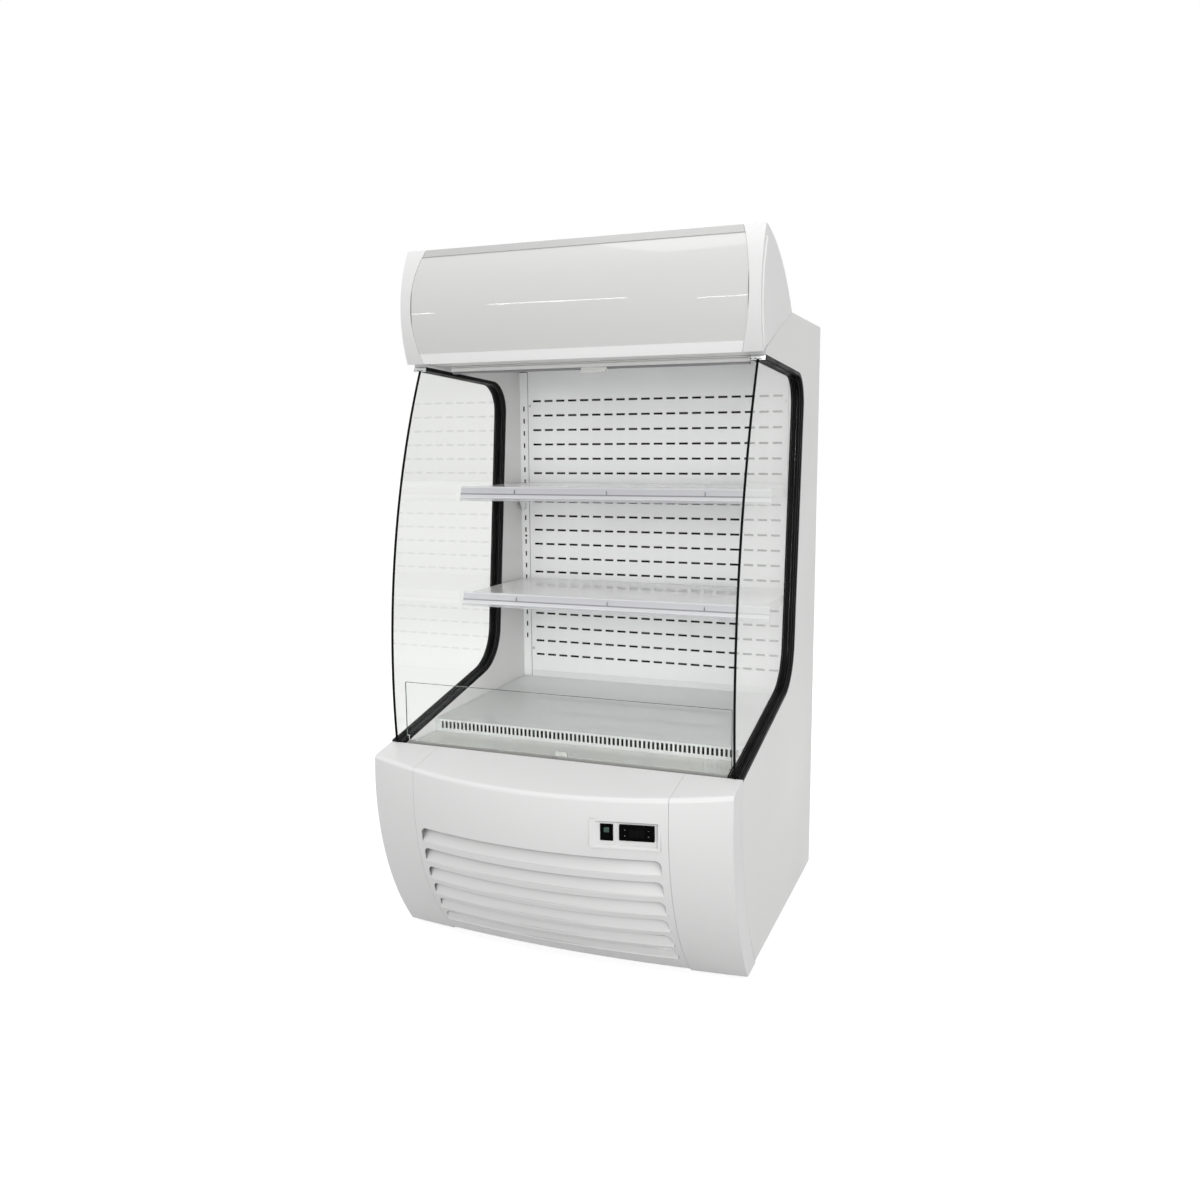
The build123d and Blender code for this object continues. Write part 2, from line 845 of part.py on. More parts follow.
def make_brackets(height, slots):
    """Pair of shelf arms, hooked into the uprights."""
    top = height - sheet
    with BuildPart() as brackets:
        for side in (-1, 1):
            with BuildSketch(side_plane(side * bracket_x - bracket_thick / 2)):
                with BuildLine():
                    Polyline(
                        spot(duct_panel_depth + 0.4, top - bracket_tall),
                        spot(duct_panel_depth + 0.4, top),
                        spot(shelf_front_depth - 20, top),
                        spot(shelf_front_depth - 20, top - bracket_front_tall),
                        spot(duct_panel_depth + 60, top - bracket_tall),
                        close=True,
                    )
                make_face()
                for slot in slots:
                    hook_height = upright_slot_top - slot * upright_slot_pitch
                    with Locations((rear_y - duct_panel_depth + 2, hook_height)):
                        Rectangle(6, 8)
            extrude(amount=bracket_thick)
    return brackets.part


# ---------------------------------------------------------------- base front
def front_section(x, inset, low):
    """Side-view section of the base front at this x, moved inward by a wall.

    The outer crease is round; inside the wall it is a plain bevel.
    """
    apex = apex_depth(x) - inset
    radius = front_radius(x) - inset
    middle = apex_height(x)
    crest = slope_at(apex) - inset * sqrt(1 + slope_fall**2)
    corner_depth = arc_depth(apex, radius, middle, crest)
    rear = 600.0
    rear_top = crest + slope_fall * (corner_depth - rear)
    with BuildSketch(side_plane(x)) as section:
        with BuildLine():
            corner = spot(corner_depth, crest)
            foot = spot(arc_depth(apex, radius, middle, low), low)
            belly = spot(arc_depth(apex, radius, middle, (crest + low) / 2), (crest + low) / 2)
            Line(spot(rear, rear_top), corner)
            ThreePointArc(corner, belly, foot)
            Polyline(foot, spot(rear, low), spot(rear, rear_top))
        make_face()
        crease = section.vertices().sort_by_distance(corner)[0]
        if inset > 0:
            chamfer(crease, crease_radius - inset)
        else:
            fillet(crease, crease_radius)
    return section.sketch


def front_block(inset, low, half):
    """Solid under the base front's face, inside its wall where inset is the wall."""
    sections = [front_section(x, inset, low) for x in (-half, 0, half)]
    with BuildPart() as block:
        loft(sections)
    return block.part


outer_block = front_block(0, skirt_gap, half_width)
inner_block = front_block(front_wall, skirt_gap - 8, half_width + 8)

pocket_centre_depth = face_depth(pocket_x, pocket_height) + 1.2
pocket_plane = Plane(
    origin=(pocket_x, rear_y - pocket_centre_depth, pocket_height),
    x_dir=(cos(radians(pocket_yaw)), sin(radians(pocket_yaw)), 0),
    z_dir=(sin(radians(pocket_yaw)), -cos(radians(pocket_yaw)), 0),
)
pocket_floor = pocket_plane.offset(-pocket_depth)
switch_place = (pocket_floor_shift[0] + switch_shift[0], pocket_floor_shift[1] + switch_shift[1])
controller_place = (pocket_floor_shift[0] + controller_shift[0], pocket_floor_shift[1] + controller_shift[1])
controller_front = device_gap + controller_thick
key_places = [
    (controller_place[0] + column, controller_place[1] + row) for column in key_columns for row in key_rows
]


def louvre_height(index):
    """Height of a louvre's upper edge: equal steps along the curved face."""
    x = louvre_half_length
    start = asin((apex_height(x) - louvre_top_height) / front_radius(x))
    turn = start + index * louvre_pitch / front_radius(x)
    return apex_height(x) - front_radius(x) * sin(turn)


def louvre_turn(index):
    """Lean of the face at a louvre, in radians from upright."""
    return asin((apex_height(0) - louvre_height(index)) / front_radius(0))


def make_louvre_windows():
    """Front-view windows of the louvres, square at their feet and round at their tops."""
    with BuildPart() as windows:
        for index in range(louvre_count):
            top = louvre_height(index)
            tall = louvre_open * cos(louvre_turn(index))
            with BuildSketch(front_plane(700)) as window:
                with Locations((0, top - tall / 2)):
                    Rectangle(2 * louvre_half_length, tall)
                upper = window.vertices().group_by(Axis.Y)[-1]
                fillet(upper, louvre_corner)
            extrude(amount=300)
    return windows.part


def make_louvre_blades():
    """Raked blades: each starts flush at its window's foot and rises inward to a slot."""
    with BuildPart() as blades:
        for index in range(louvre_count):
            top = louvre_height(index)
            tall = louvre_open * cos(louvre_turn(index))
            foot = top - tall
            front = face_depth(0, foot)
            crown = top - louvre_slot
            crown_depth = face_depth(0, top) - louvre_depth - front_wall
            side_x = louvre_half_length
            fall = front - face_depth(side_x, foot)
            plan_radius = (side_x**2 + fall**2) / (2 * fall)
            centre_y = rear_y - front + plan_radius
            sweep_turn = 2 * degrees(asin((side_x + 3) / plan_radius))
            start_plane = Plane.YZ.rotated((0, 0, -sweep_turn / 2), ordering=Extrinsic.XYZ)
            blade_plane = Plane(origin=(0, centre_y, 0), x_dir=start_plane.x_dir, z_dir=start_plane.z_dir)
            with BuildSketch(blade_plane):
                with BuildLine():
                    reach = -plan_radius
                    Polyline(
                        (reach + 0.6, foot - 4),
                        (reach + 0.6, foot + 0.5),
                        (reach + front - crown_depth, crown),
                        (reach + front - crown_depth + louvre_blade, crown - 1),
                        (reach + 0.6 + front_wall, foot - 4),
                        close=True,
                    )
                make_face()
            revolve(axis=Axis((0, centre_y, 0), (0, 0, 1)), revolution_arc=sweep_turn)
    return blades.part


def make_louvred_panel():
    """Front panel: thin shell with louvres, blades and the control pocket."""
    windows = make_louvre_windows()
    blades = make_louvre_blades()
    half = cap_seam_x - seam / 2
    with BuildPart() as panel:
        add(outer_block)
        add(inner_block, mode=Mode.SUBTRACT)
        with BuildSketch(side_plane(-half)):
            with BuildLine():
                Polyline(
                    spot(slope_depth, slope_height + 40),
                    spot(slope_depth, 440),
                    spot(700, louvred_bottom),
                    spot(depth + 20, louvred_bottom),
                    spot(depth + 20, slope_height + 40),
                    close=True,
                )
            make_face()
        extrude(amount=2 * half, mode=Mode.INTERSECT)
        add(windows, mode=Mode.SUBTRACT)
        add(blades)
        for side in (-1, 1):
            for index in range(louvre_count):
                top = louvre_height(index)
                tall = louvre_open * cos(louvre_turn(index)) + 4
                cheek_x = side * (louvre_half_length + 1.5)
                front = min(face_depth(cheek_x, top), face_depth(cheek_x, top - tall)) - 1
                with Locations((cheek_x, rear_y - front + 10, top - tall / 2)):
                    Box(3, 20, tall)
        with BuildSketch(pocket_plane.offset(-pocket_depth - 3)):
            Rectangle(pocket_width + 6, pocket_tall + 6)
        extrude(amount=pocket_depth + 3 - 2.5)
        with BuildSketch(pocket_floor):
            with Locations(pocket_floor_shift):
                Rectangle(pocket_floor_width, pocket_floor_tall)
        over = 6.0
        grow = over / pocket_depth
        with BuildSketch(pocket_plane.offset(over)):
            with Locations((-pocket_floor_shift[0] * grow, -pocket_floor_shift[1] * grow)):
                Rectangle(
                    pocket_width + (pocket_width - pocket_floor_width) * grow,
                    pocket_tall + (pocket_tall - pocket_floor_tall) * grow,
                )
        loft(mode=Mode.SUBTRACT)
        with BuildSketch(pocket_floor):
            with Locations(switch_place):
                Rectangle(*switch_cut)
            with Locations(controller_place):
                Rectangle(*controller_cut)
        extrude(amount=-12, mode=Mode.SUBTRACT)
    return panel.part


def make_base_cap(side):
    """Moulded corner of the base: curved front, sloping top and side wall in one shell."""
    inner_edge = cap_seam_x + seam / 2
    with BuildPart() as cap:
        add(outer_block)
        with Locations((side * (half_width - front_wall - 250), 0, 300)):
            hollow = Box(500, 2000, 700, mode=Mode.PRIVATE)
        add(inner_block.intersect(hollow), mode=Mode.SUBTRACT)
        with BuildSketch(side_plane(side * inner_edge)):
            with BuildLine():
                joint = ThreePointArc(
                    spot(seam_depth(slope_height), slope_height + 1),
                    spot(seam_depth(250), 250),
                    spot(seam_depth(skirt_gap), skirt_gap - 2),
                )
                Polyline(
                    joint @ 1,
                    spot(depth + 20, skirt_gap - 2),
                    spot(depth + 20, slope_height + 40),
                    spot(slope_depth, slope_height + 40),
                    joint @ 0,
                )
            make_face()
        extrude(amount=side * (half_width - inner_edge + 5), mode=Mode.INTERSECT)
    return cap.part


# ---------------------------------------------------------------- canopy
def make_canopy_cap(side):
    """Moulded canopy end: side face with a raised teardrop and a barrel-edged front band."""
    inner_edge = barrel_top[0] - 6
    with BuildPart() as cap:
        with BuildSketch(side_plane(side * inner_edge)):
            add(canopy_full)
        extrude(amount=side * (half_width - inner_edge))
        with BuildSketch(side_plane(side * (inner_edge - 1))):
            add(canopy_inside)
        extrude(amount=side * (canopy_inner_half - inner_edge + 1), mode=Mode.SUBTRACT)
        with BuildSketch(front_plane(560)):
            add(barrel_full)
        extrude(amount=200, mode=Mode.SUBTRACT)
        with BuildSketch(side_plane(side * (inner_edge - 1))):
            with Locations(spot(canopy_seam_depth - 200, 1580)):
                Rectangle(400, 360)
        extrude(amount=side * (canopy_sheet_half - 16 - inner_edge + 1), mode=Mode.SUBTRACT)
        with BuildSketch(side_plane(side * (inner_edge - 1))):
            add(canopy_full)
            add(canopy_zone_low, mode=Mode.SUBTRACT)
            with Locations(spot(canopy_seam_depth - 200, 1580)):
                Rectangle(400, 360, mode=Mode.INTERSECT)
        extrude(amount=side * (canopy_inner_half - inner_edge + 1), mode=Mode.SUBTRACT)
        with BuildSketch(side_plane(side * half_width)):
            with BuildLine():
                front = ThreePointArc(*[spot(*point) for point in emboss_front])
                low = ThreePointArc(front @ 1, *[spot(*point) for point in emboss_low])
                turn = ThreePointArc(low @ 1, *[spot(*point) for point in emboss_turn])
                ThreePointArc(turn @ 1, spot(*emboss_back), front @ 0)
            make_face()
        extrude(amount=side * canopy_emboss, taper=38)
    return cap.part


def make_diffuser():
    """Opal light panel that follows the canopy's curved front."""
    with BuildPart() as diffuser:
        with BuildSketch(side_plane(-430)):
            add(canopy_diffuser_outer)
            add(canopy_diffuser_inner, mode=Mode.SUBTRACT)
            with Locations(((rear_y - 690), (diffuser_top + diffuser_low) / 2)):
                Rectangle(90, diffuser_top - diffuser_low - 0.4, mode=Mode.INTERSECT)
        extrude(amount=860)
        with BuildSketch(front_plane(560)):
            add(barrel_inside)
        extrude(amount=200, mode=Mode.INTERSECT)
    return diffuser.part


def make_canopy_rail(low, top, rear):
    """White extrusion along one edge of the light panel."""
    front = 740.0
    with BuildPart() as rail:
        with BuildSketch(side_plane(-430)):
            add(canopy_full)
            add(canopy_rail_inner, mode=Mode.SUBTRACT)
            with Locations(spot((front + rear) / 2, (top + low) / 2)):
                Rectangle(front - rear, top - low, mode=Mode.INTERSECT)
        extrude(amount=860)
        with BuildSketch(front_plane(500)):
            add(barrel_inside)
        extrude(amount=300, mode=Mode.INTERSECT)
    return rail.part


def make_canopy_back():
    """Bent sheet that closes the canopy behind the light, from the top rail to the roof."""
    front = canopy_seam_depth - seam
    rear = canopy_back_low[0]
    with BuildPart() as back:
        with BuildSketch(side_plane(-canopy_sheet_half)):
            add(canopy_sheet_outer)
            add(canopy_sheet_inner, mode=Mode.SUBTRACT)
            with Locations(spot((front + rear) / 2, cabinet_top + 100)):
                Rectangle(front - rear, 200, mode=Mode.INTERSECT)
        extrude(amount=2 * canopy_sheet_half)
    return back.part


def make_underside():
    """Canopy underside sheet, with the blind's slot and its two roller brackets."""
    half = inner_half - 2
    slot_rear = blind_bar_depth - 22
    slot_front = blind_bar_depth + 12
    with BuildPart() as underside:
        for rear, front in ((roof_leg_rear + 1, slot_rear), (slot_front, canopy_front_low[0] - 11.5)):
            with Locations((0, rear_y - (rear + front) / 2, underside_height + sheet / 2)):
                Box(2 * half, front - rear, sheet)
        for side in (-1, 1):
            slot_y = rear_y - (slot_rear + slot_front) / 2
            with Locations((side * (half - 4), slot_y, underside_height + sheet / 2)):
                Box(8, slot_front - slot_rear, sheet)
            with BuildSketch(side_plane(side * (half - 6))):
                with BuildLine():
                    Polyline(
                        spot(roller_depth - 22, underside_height + sheet),
                        spot(roller_depth - 12, roller_height + 12),
                        spot(roller_depth + 12, roller_height + 12),
                        spot(roller_depth + 26, underside_height + sheet),
                        close=True,
                    )
                make_face()
                with Locations(spot(roller_depth, roller_height)):
                    Circle(roller_pin + shaft_clearance, mode=Mode.SUBTRACT)
            extrude(amount=side * 2)
    return underside.part


def make_lamp():
    """Fluorescent tube between its two holders."""
    with BuildPart() as lamp:
        with BuildSketch(side_plane(-lamp_half)):
            with Locations(spot(lamp_depth, lamp_height)):
                Circle(lamp_radius)
        extrude(amount=2 * lamp_half)
    return lamp.part


def make_batten():
    """Lamp batten: channel with the ballast inside and a holder at each end of the tube."""
    with BuildPart() as batten:
        with Locations((0, rear_y - lamp_depth + 52, lamp_height)):
            Box(800, 30, 44)
        for side in (-1, 1):
            with Locations((side * (lamp_half + 10), rear_y - lamp_depth + 12, lamp_height)):
                Box(19.2, 50, 30)
            with BuildSketch(side_plane(side * 300 - 15)):
                with BuildLine():
                    Polyline(
                        spot(roof_leg_front, 1496),
                        spot(roof_leg_front, 1509),
                        spot(lamp_depth - 66, lamp_height - 22),
                        spot(lamp_depth - 61, lamp_height - 22),
                        spot(roof_leg_front + 3, 1507),
                        spot(roof_leg_front + 3, 1496),
                        close=True,
                    )
                make_face()
            extrude(amount=30)
    return batten.part


# ---------------------------------------------------------------- night blind
lean_forward = sin(radians(blind_lean))
lean_down = cos(radians(blind_lean))
leave_depth = blind_bar_depth - blind_drop * lean_forward
leave_height = blind_bar_height + blind_drop * lean_down
roller_depth = leave_depth + (roller_radius + blind_cloth / 2 + 0.3) * lean_down
roller_height = leave_height + (roller_radius + blind_cloth / 2 + 0.3) * lean_forward


def make_roller():
    """Spring roller of the night blind, with its end pins."""
    with BuildPart() as roller:
        with BuildSketch(side_plane(-blind_half)):
            with Locations(spot(roller_depth, roller_height)):
                Circle(roller_radius)
        extrude(amount=2 * blind_half)
        with BuildSketch(side_plane(-inner_half + 4)):
            with Locations(spot(roller_depth, roller_height)):
                Circle(roller_pin)
        extrude(amount=2 * (inner_half - 4))
    return roller.part


def beside_blind(drop, across):
    """Point beside the blind's way down: so far below the roller, so far in front."""
    forward = leave_depth + drop * lean_forward + across * lean_down
    return spot(forward, leave_height - drop * lean_down + across * lean_forward)


def make_blind_cloth():
    """Stretch of blind between the roller and the bar."""
    half_cloth = blind_cloth / 2
    start = 1.0
    end = blind_drop - 5.6
    with BuildPart() as cloth:
        with BuildSketch(side_plane(-blind_half + 6)):
            with BuildLine():
                Polyline(
                    beside_blind(start, -half_cloth),
                    beside_blind(start, half_cloth),
                    beside_blind(end, half_cloth),
                    beside_blind(end, -half_cloth),
                    close=True,
                )
            make_face()
        extrude(amount=2 * (blind_half - 6))
    return cloth.part


def make_blind_bar():
    """Flat pull bar of the blind, with its middle grip."""
    with BuildPart() as bar:
        with BuildSketch(side_plane(-blind_half)) as profile:
            with Locations(spot(blind_bar_depth, blind_bar_height)):
                Rectangle(20, 10)
            fillet(profile.vertices(), 3)
        extrude(amount=2 * blind_half)
        with BuildSketch(side_plane(-34)):
            with BuildLine():
                Polyline(
                    spot(blind_bar_depth - 3, blind_bar_height - 4.5),
                    spot(blind_bar_depth - 2, blind_bar_height - 17),
                    spot(blind_bar_depth + 10, blind_bar_height - 17),
                    spot(blind_bar_depth + 10, blind_bar_height - 14),
                    spot(blind_bar_depth + 2, blind_bar_height - 13),
                    spot(blind_bar_depth + 2, blind_bar_height - 4.5),
                    close=True,
                )
            make_face()
        extrude(amount=68)
    return bar.part


# ---------------------------------------------------------------- controls
rocker_front = pocket_floor.offset(device_gap + bezel_thick)
rocker_view = Plane(
    origin=rocker_front.from_local_coords((*switch_place, 0)), x_dir=(0, 0, 1), z_dir=pocket_plane.x_dir
)


def make_switch_body():
    """Rocker switch housing with its bezel."""
    with BuildPart() as body:
        with BuildSketch(pocket_floor.offset(device_gap)):
            with Locations(switch_place):
                Rectangle(*switch_bezel)
        extrude(amount=bezel_thick)
        with BuildSketch(pocket_floor.offset(device_gap)):
            with Locations(switch_place):
                Rectangle(switch_cut[0] - 2 * cut_gap, switch_cut[1] - 2 * cut_gap)
        extrude(amount=-22)
        with BuildSketch(rocker_front):
            with Locations(switch_place):
                Rectangle(*switch_mouth)
        extrude(amount=-14, mode=Mode.SUBTRACT)
        with BuildSketch(rocker_view.offset(-rocker_width / 2 - 2)):
            with Locations(rocker_pivot):
                Circle(rocker_pin + shaft_clearance)
        extrude(amount=rocker_width + 4, mode=Mode.SUBTRACT)
    return body.part


def make_rocker():
    """Rocker key: two flats that meet at a shallow angle, with pivot pins in the housing."""
    half = rocker_half
    with BuildPart() as rocker:
        with BuildSketch(rocker_view.offset(-rocker_width / 2)):
            with BuildLine():
                Polyline(
                    (-half + 0.6, -1.6),
                    (-half + 0.4, 3.4),
                    (0, 1.2),
                    (half - 0.4, 1.6),
                    (half - 0.6, -1.6),
                    (4, -6),
                    (-4, -6),
                    close=True,
                )
            make_face()
        extrude(amount=rocker_width)
        with BuildSketch(rocker_view.offset(-rocker_width / 2 - 1.6)):
            with Locations(rocker_pivot):
                Circle(rocker_pin)
        extrude(amount=rocker_width + 3.2)
    return rocker.part


def make_controller():
    """Panel controller: bezel, screen window and body behind the panel."""
    with BuildPart() as controller:
        with BuildSketch(pocket_floor.offset(device_gap)) as bezel:
            with Locations(controller_place):
                Rectangle(*controller_bezel)
            fillet(bezel.vertices(), 2)
        extrude(amount=controller_thick)
        with BuildSketch(pocket_floor.offset(device_gap)):
            with Locations(controller_place):
                Rectangle(controller_cut[0] - 2 * cut_gap, controller_cut[1] - 2 * cut_gap)
        extrude(amount=-55)
        with BuildSketch(pocket_floor.offset(controller_front)):
            with Locations(controller_place):
                Rectangle(*window_size)
        extrude(amount=-window_recess, mode=Mode.SUBTRACT)
        with BuildSketch(pocket_floor.offset(controller_front)):
            with Locations(*key_places):
                Rectangle(key_size[0] + 2 * key_gap, key_size[1] + 2 * key_gap)
        extrude(amount=-key_well, mode=Mode.SUBTRACT)
    return controller.part


def make_key(place):
    """Small push key of the controller."""
    key_back = controller_front + key_rise - key_tall
    with BuildPart() as key:
        with BuildSketch(pocket_floor.offset(key_back)):
            with Locations(place):
                Rectangle(*key_size)
        extrude(amount=key_tall)
        front_face = key.faces().sort_by(Axis(pocket_floor.origin, pocket_floor.z_dir))[-1]
        chamfer(front_face.edges(), 0.4)
    return key.part


# ---------------------------------------------------------------- machine compartment
def make_base_frame():
    """Folded base plate with bosses for the levelling feet."""
    front = 735.0
    rear = 12.0
    half = inner_half - fit_gap
    middle_y = rear_y - (front + rear) / 2
    with BuildPart() as frame:
        with Locations((0, middle_y, base_plate_height + 1)):
            Box(2 * half, front - rear, 2)
        for side in (-1, 1):
            with Locations((side * (half - 1), middle_y, base_plate_height + 20)):
                Box(2, front - rear, 40)
        with Locations((0, rear_y - front + 1, base_plate_height + 8)):
            Box(2 * half, 2, 16)
        for side in (-1, 1):
            with Locations((side * (half - 13), rear_y - 715, (base_plate_height + tank_bottom) / 2)):
                Box(24, 24, tank_bottom - base_plate_height)
            for forward in (foot_front_depth, foot_rear_depth):
                with Locations((side * foot_x, rear_y - forward, base_plate_height - 2)):
                    Box(28, 28, 24)
                    Cylinder(foot_stem_radius + shaft_clearance, 40, mode=Mode.SUBTRACT)
    return frame.part


def make_feet():
    """Four levelling feet: hexagonal polymer pad under a threaded stem."""
    with BuildPart() as feet:
        for x in (-foot_x, foot_x):
            for forward in (foot_front_depth, foot_rear_depth):
                with BuildSketch(Plane(origin=(x, rear_y - forward, 0))):
                    RegularPolygon(foot_radius, 6)
                extrude(amount=foot_pad_tall)
                with BuildSketch(Plane(origin=(x, rear_y - forward, foot_pad_tall))):
                    RegularPolygon(foot_radius, 6)
                extrude(amount=foot_neck_tall, taper=40)
                with BuildSketch(Plane(origin=(x, rear_y - forward, foot_pad_tall))):
                    Circle(foot_stem_radius)
                extrude(amount=base_plate_height + 9 - foot_pad_tall)
    return feet.part


def make_compressor():
    """Hermetic compressor: pressed shell with a domed top, on a rubber-mounted foot plate."""
    low = base_plate_height + 2
    base = low + 7
    top = low + compressor_tall
    middle_y = rear_y - compressor_depth
    wide = compressor_radius
    with BuildPart() as compressor:
        with Locations((compressor_x, middle_y, low + 6)):
            Box(210, 150, 4)
            with GridLocations(176, 116, 2, 2):
                Box(20, 20, 12)
        with BuildSketch(Plane(origin=(compressor_x, middle_y, 0), x_dir=(1, 0, 0), z_dir=(0, -1, 0))):
            with BuildLine():
                Polyline(
                    (0, base),
                    (wide - 16, base),
                    (wide, base + 24),
                    (wide, low + 93),
                    (wide + 4, low + 93),
                    (wide + 4, low + 99),
                    (wide, low + 99),
                    (wide, top - 58),
                    (wide - 10, top - 30),
                    (wide - 36, top - 8),
                    (0, top),
                    close=True,
                )
            make_face()
        revolve(axis=Axis((compressor_x, middle_y, 0), (0, 0, 1)))
        with Locations((compressor_x - wide - 8, middle_y, low + 60)):
            Box(40, 62, 56)
        with Locations((compressor_x + 30, middle_y - wide - 14, low + 116)):
            Cylinder(5, 44, rotation=(90, 0, 0))
    return compressor.part


def make_condenser():
    """Finned condenser coil with its end plates and headers."""
    middle_y = rear_y - condenser_depth
    tall = condenser_top - condenser_low
    fin_steps = 12
    with BuildPart() as condenser:
        with Locations((0, middle_y, (condenser_low + condenser_top) / 2)):
            Box(2 * condenser_half, condenser_thick, tall - 8)
            with GridLocations(2 * condenser_half / fin_steps, 1, fin_steps, 1):
                for face in (-1, 1):
                    with Locations((0, face * condenser_thick / 2, 0)):
                        Box(12, 8, tall - 24, mode=Mode.SUBTRACT)
        for side in (-1, 1):
            with Locations((side * (condenser_half + 1), middle_y, (condenser_low + condenser_top) / 2)):
                Box(2, condenser_thick + 14, tall)
            with GridLocations(2 * condenser_half + 16, 1, 1, 1):
                with Locations((side * (condenser_half + 8), middle_y, (condenser_low + condenser_top) / 2)):
                    Box(12, 14, tall - 60)
        with Locations((0, middle_y, base_plate_height + 5)):
            Box(2 * condenser_half + 4, condenser_thick + 14, 6)
    return condenser.part


def make_fan_shroud():
    """Shroud on the back of the condenser, with the motor on its cross arms."""
    tall = condenser_top - condenser_low
    middle_height = (condenser_low + condenser_top) / 2
    back = condenser_depth - condenser_thick / 2 - 8
    with BuildPart() as shroud:
        with BuildSketch(front_plane(back - 3)):
            with Locations((0, middle_height)):
                Rectangle(2 * condenser_half, tall)
            with Locations((0, condenser_fan_height)):
                Circle(condenser_fan_radius + fan_gap, mode=Mode.SUBTRACT)
        extrude(amount=3)
        with BuildSketch(front_plane(back - 55)):
            with Locations((0, condenser_fan_height)):
                Circle(condenser_fan_radius + fan_gap + 2)
                Circle(condenser_fan_radius + fan_gap, mode=Mode.SUBTRACT)
        extrude(amount=53)
        with BuildSketch(front_plane(back - 63)):
            for turn in (0, 90):
                with Locations(Location((0, condenser_fan_height, 0), turn)):
                    Rectangle(2 * (condenser_fan_radius + fan_gap + 2), 16)
        extrude(amount=8)
        with Locations((0, rear_y - (back - 63 - 22), condenser_fan_height)):
            Cylinder(36, 50, rotation=(90, 0, 0))
        with Locations((0, rear_y - condenser_fan_depth + 12, condenser_fan_height)):
            Cylinder(condenser_shaft, 44, rotation=(90, 0, 0))
        for corner_x in (-condenser_half + 8, condenser_half - 8):
            with Locations((corner_x, rear_y - (back + 1.0), middle_height)):
                Box(16, 14, tall)
    return shroud.part


def make_fan(place, radius, blades, hub, width, shaft):
    """Axial fan: hub with flat raked blades, bored for its motor's shaft."""
    x, forward, height = place
    middle = Vector(x, rear_y - forward, height)
    with BuildPart() as fan:
        with Locations(middle):
            Cylinder(hub, width, rotation=(90, 0, 0))
        for index in range(blades):
            turn = radians(index * 360 / blades)
            outward = Vector(cos(turn), 0, sin(turn))
            around = Vector(-sin(turn), 0, cos(turn))
            chord = around * cos(radians(fan_rake)) + Vector(0, 1, 0) * sin(radians(fan_rake))
            with BuildSketch(Plane(origin=middle + outward * (hub - 2), x_dir=chord, z_dir=outward)):
                Rectangle(radius * fan_blade_share, 2.2)
            extrude(amount=radius - hub, taper=-fan_flare)
        with Locations(middle):
            Cylinder(shaft + shaft_clearance, 10 * width, rotation=(90, 0, 0), mode=Mode.SUBTRACT)
    return fan.part


def make_drip_tray():
    """Evaporation tray for the melt water."""
    with BuildPart() as tray:
        with Locations((-60, rear_y - 150, base_plate_height + 2 + 24)):
            Box(230, 200, 48)
            with Locations((0, 0, 2)):
                Box(226, 196, 46, mode=Mode.SUBTRACT)
    return tray.part


def make_electrical_box():
    """Wiring box at the rear, with the mains inlet in its back."""
    with BuildPart() as box:
        with Locations((-300, rear_y - 62, 190)):
            Box(150, 100, 110)
        with Locations((-300, rear_y - 62, 97.5)):
            Box(60, 60, 75)
        with Locations((-300, rear_y - 6.5, 190)):
            Box(48, 13, 30)
            with Locations((0, 3, 0)):
                Box(36, 20, 20, mode=Mode.SUBTRACT)
    return box.part


def make_rear_grille():
    """Removable slotted cover of the machine compartment."""
    low = 62.0
    tall = tank_bottom - 1 - low
    with BuildPart() as grille:
        with BuildSketch(front_plane(3)):
            with Locations((0, low + tall / 2)):
                Rectangle(2 * (inner_half - fit_gap), tall)
            with Locations((110, 0)):
                with Locations((0, low + tall / 2)):
                    with GridLocations(180, 26, 3, 8):
                        Rectangle(140, 8, mode=Mode.SUBTRACT)
            with Locations((-300, 190)):
                Rectangle(50, 32, mode=Mode.SUBTRACT)
        extrude(amount=sheet)
    return grille.part


def make_evaporator():
    """Finned evaporator under the deck, with its end plates and return bends."""
    middle_y = rear_y - (evaporator_front + evaporator_rear) / 2
    thick = evaporator_front - evaporator_rear
    tall = evaporator_top - evaporator_low
    middle_height = (evaporator_low + evaporator_top) / 2
    fin_steps = 14
    with BuildPart() as coil:
        with Locations((0, middle_y, middle_height)):
            Box(2 * evaporator_half, thick - 12, tall - 8)
            with GridLocations(2 * evaporator_half / fin_steps, 1, fin_steps, 1):
                with Locations((0, 0, tall / 2 - 4)):
                    Box(20, thick, 12, mode=Mode.SUBTRACT)
        for side in (-1, 1):
            with Locations((side * (evaporator_half + 1), middle_y, middle_height - 4)):
                Box(2, thick, tall + 8)
            for row in (-30, 30):
                for step in (-1, 1):
                    place_y = middle_y + step * thick / 4
                    with Locations((side * (evaporator_half + 12), place_y, middle_height + row)):
                        Box(20, 34, 9)
    return coil.part


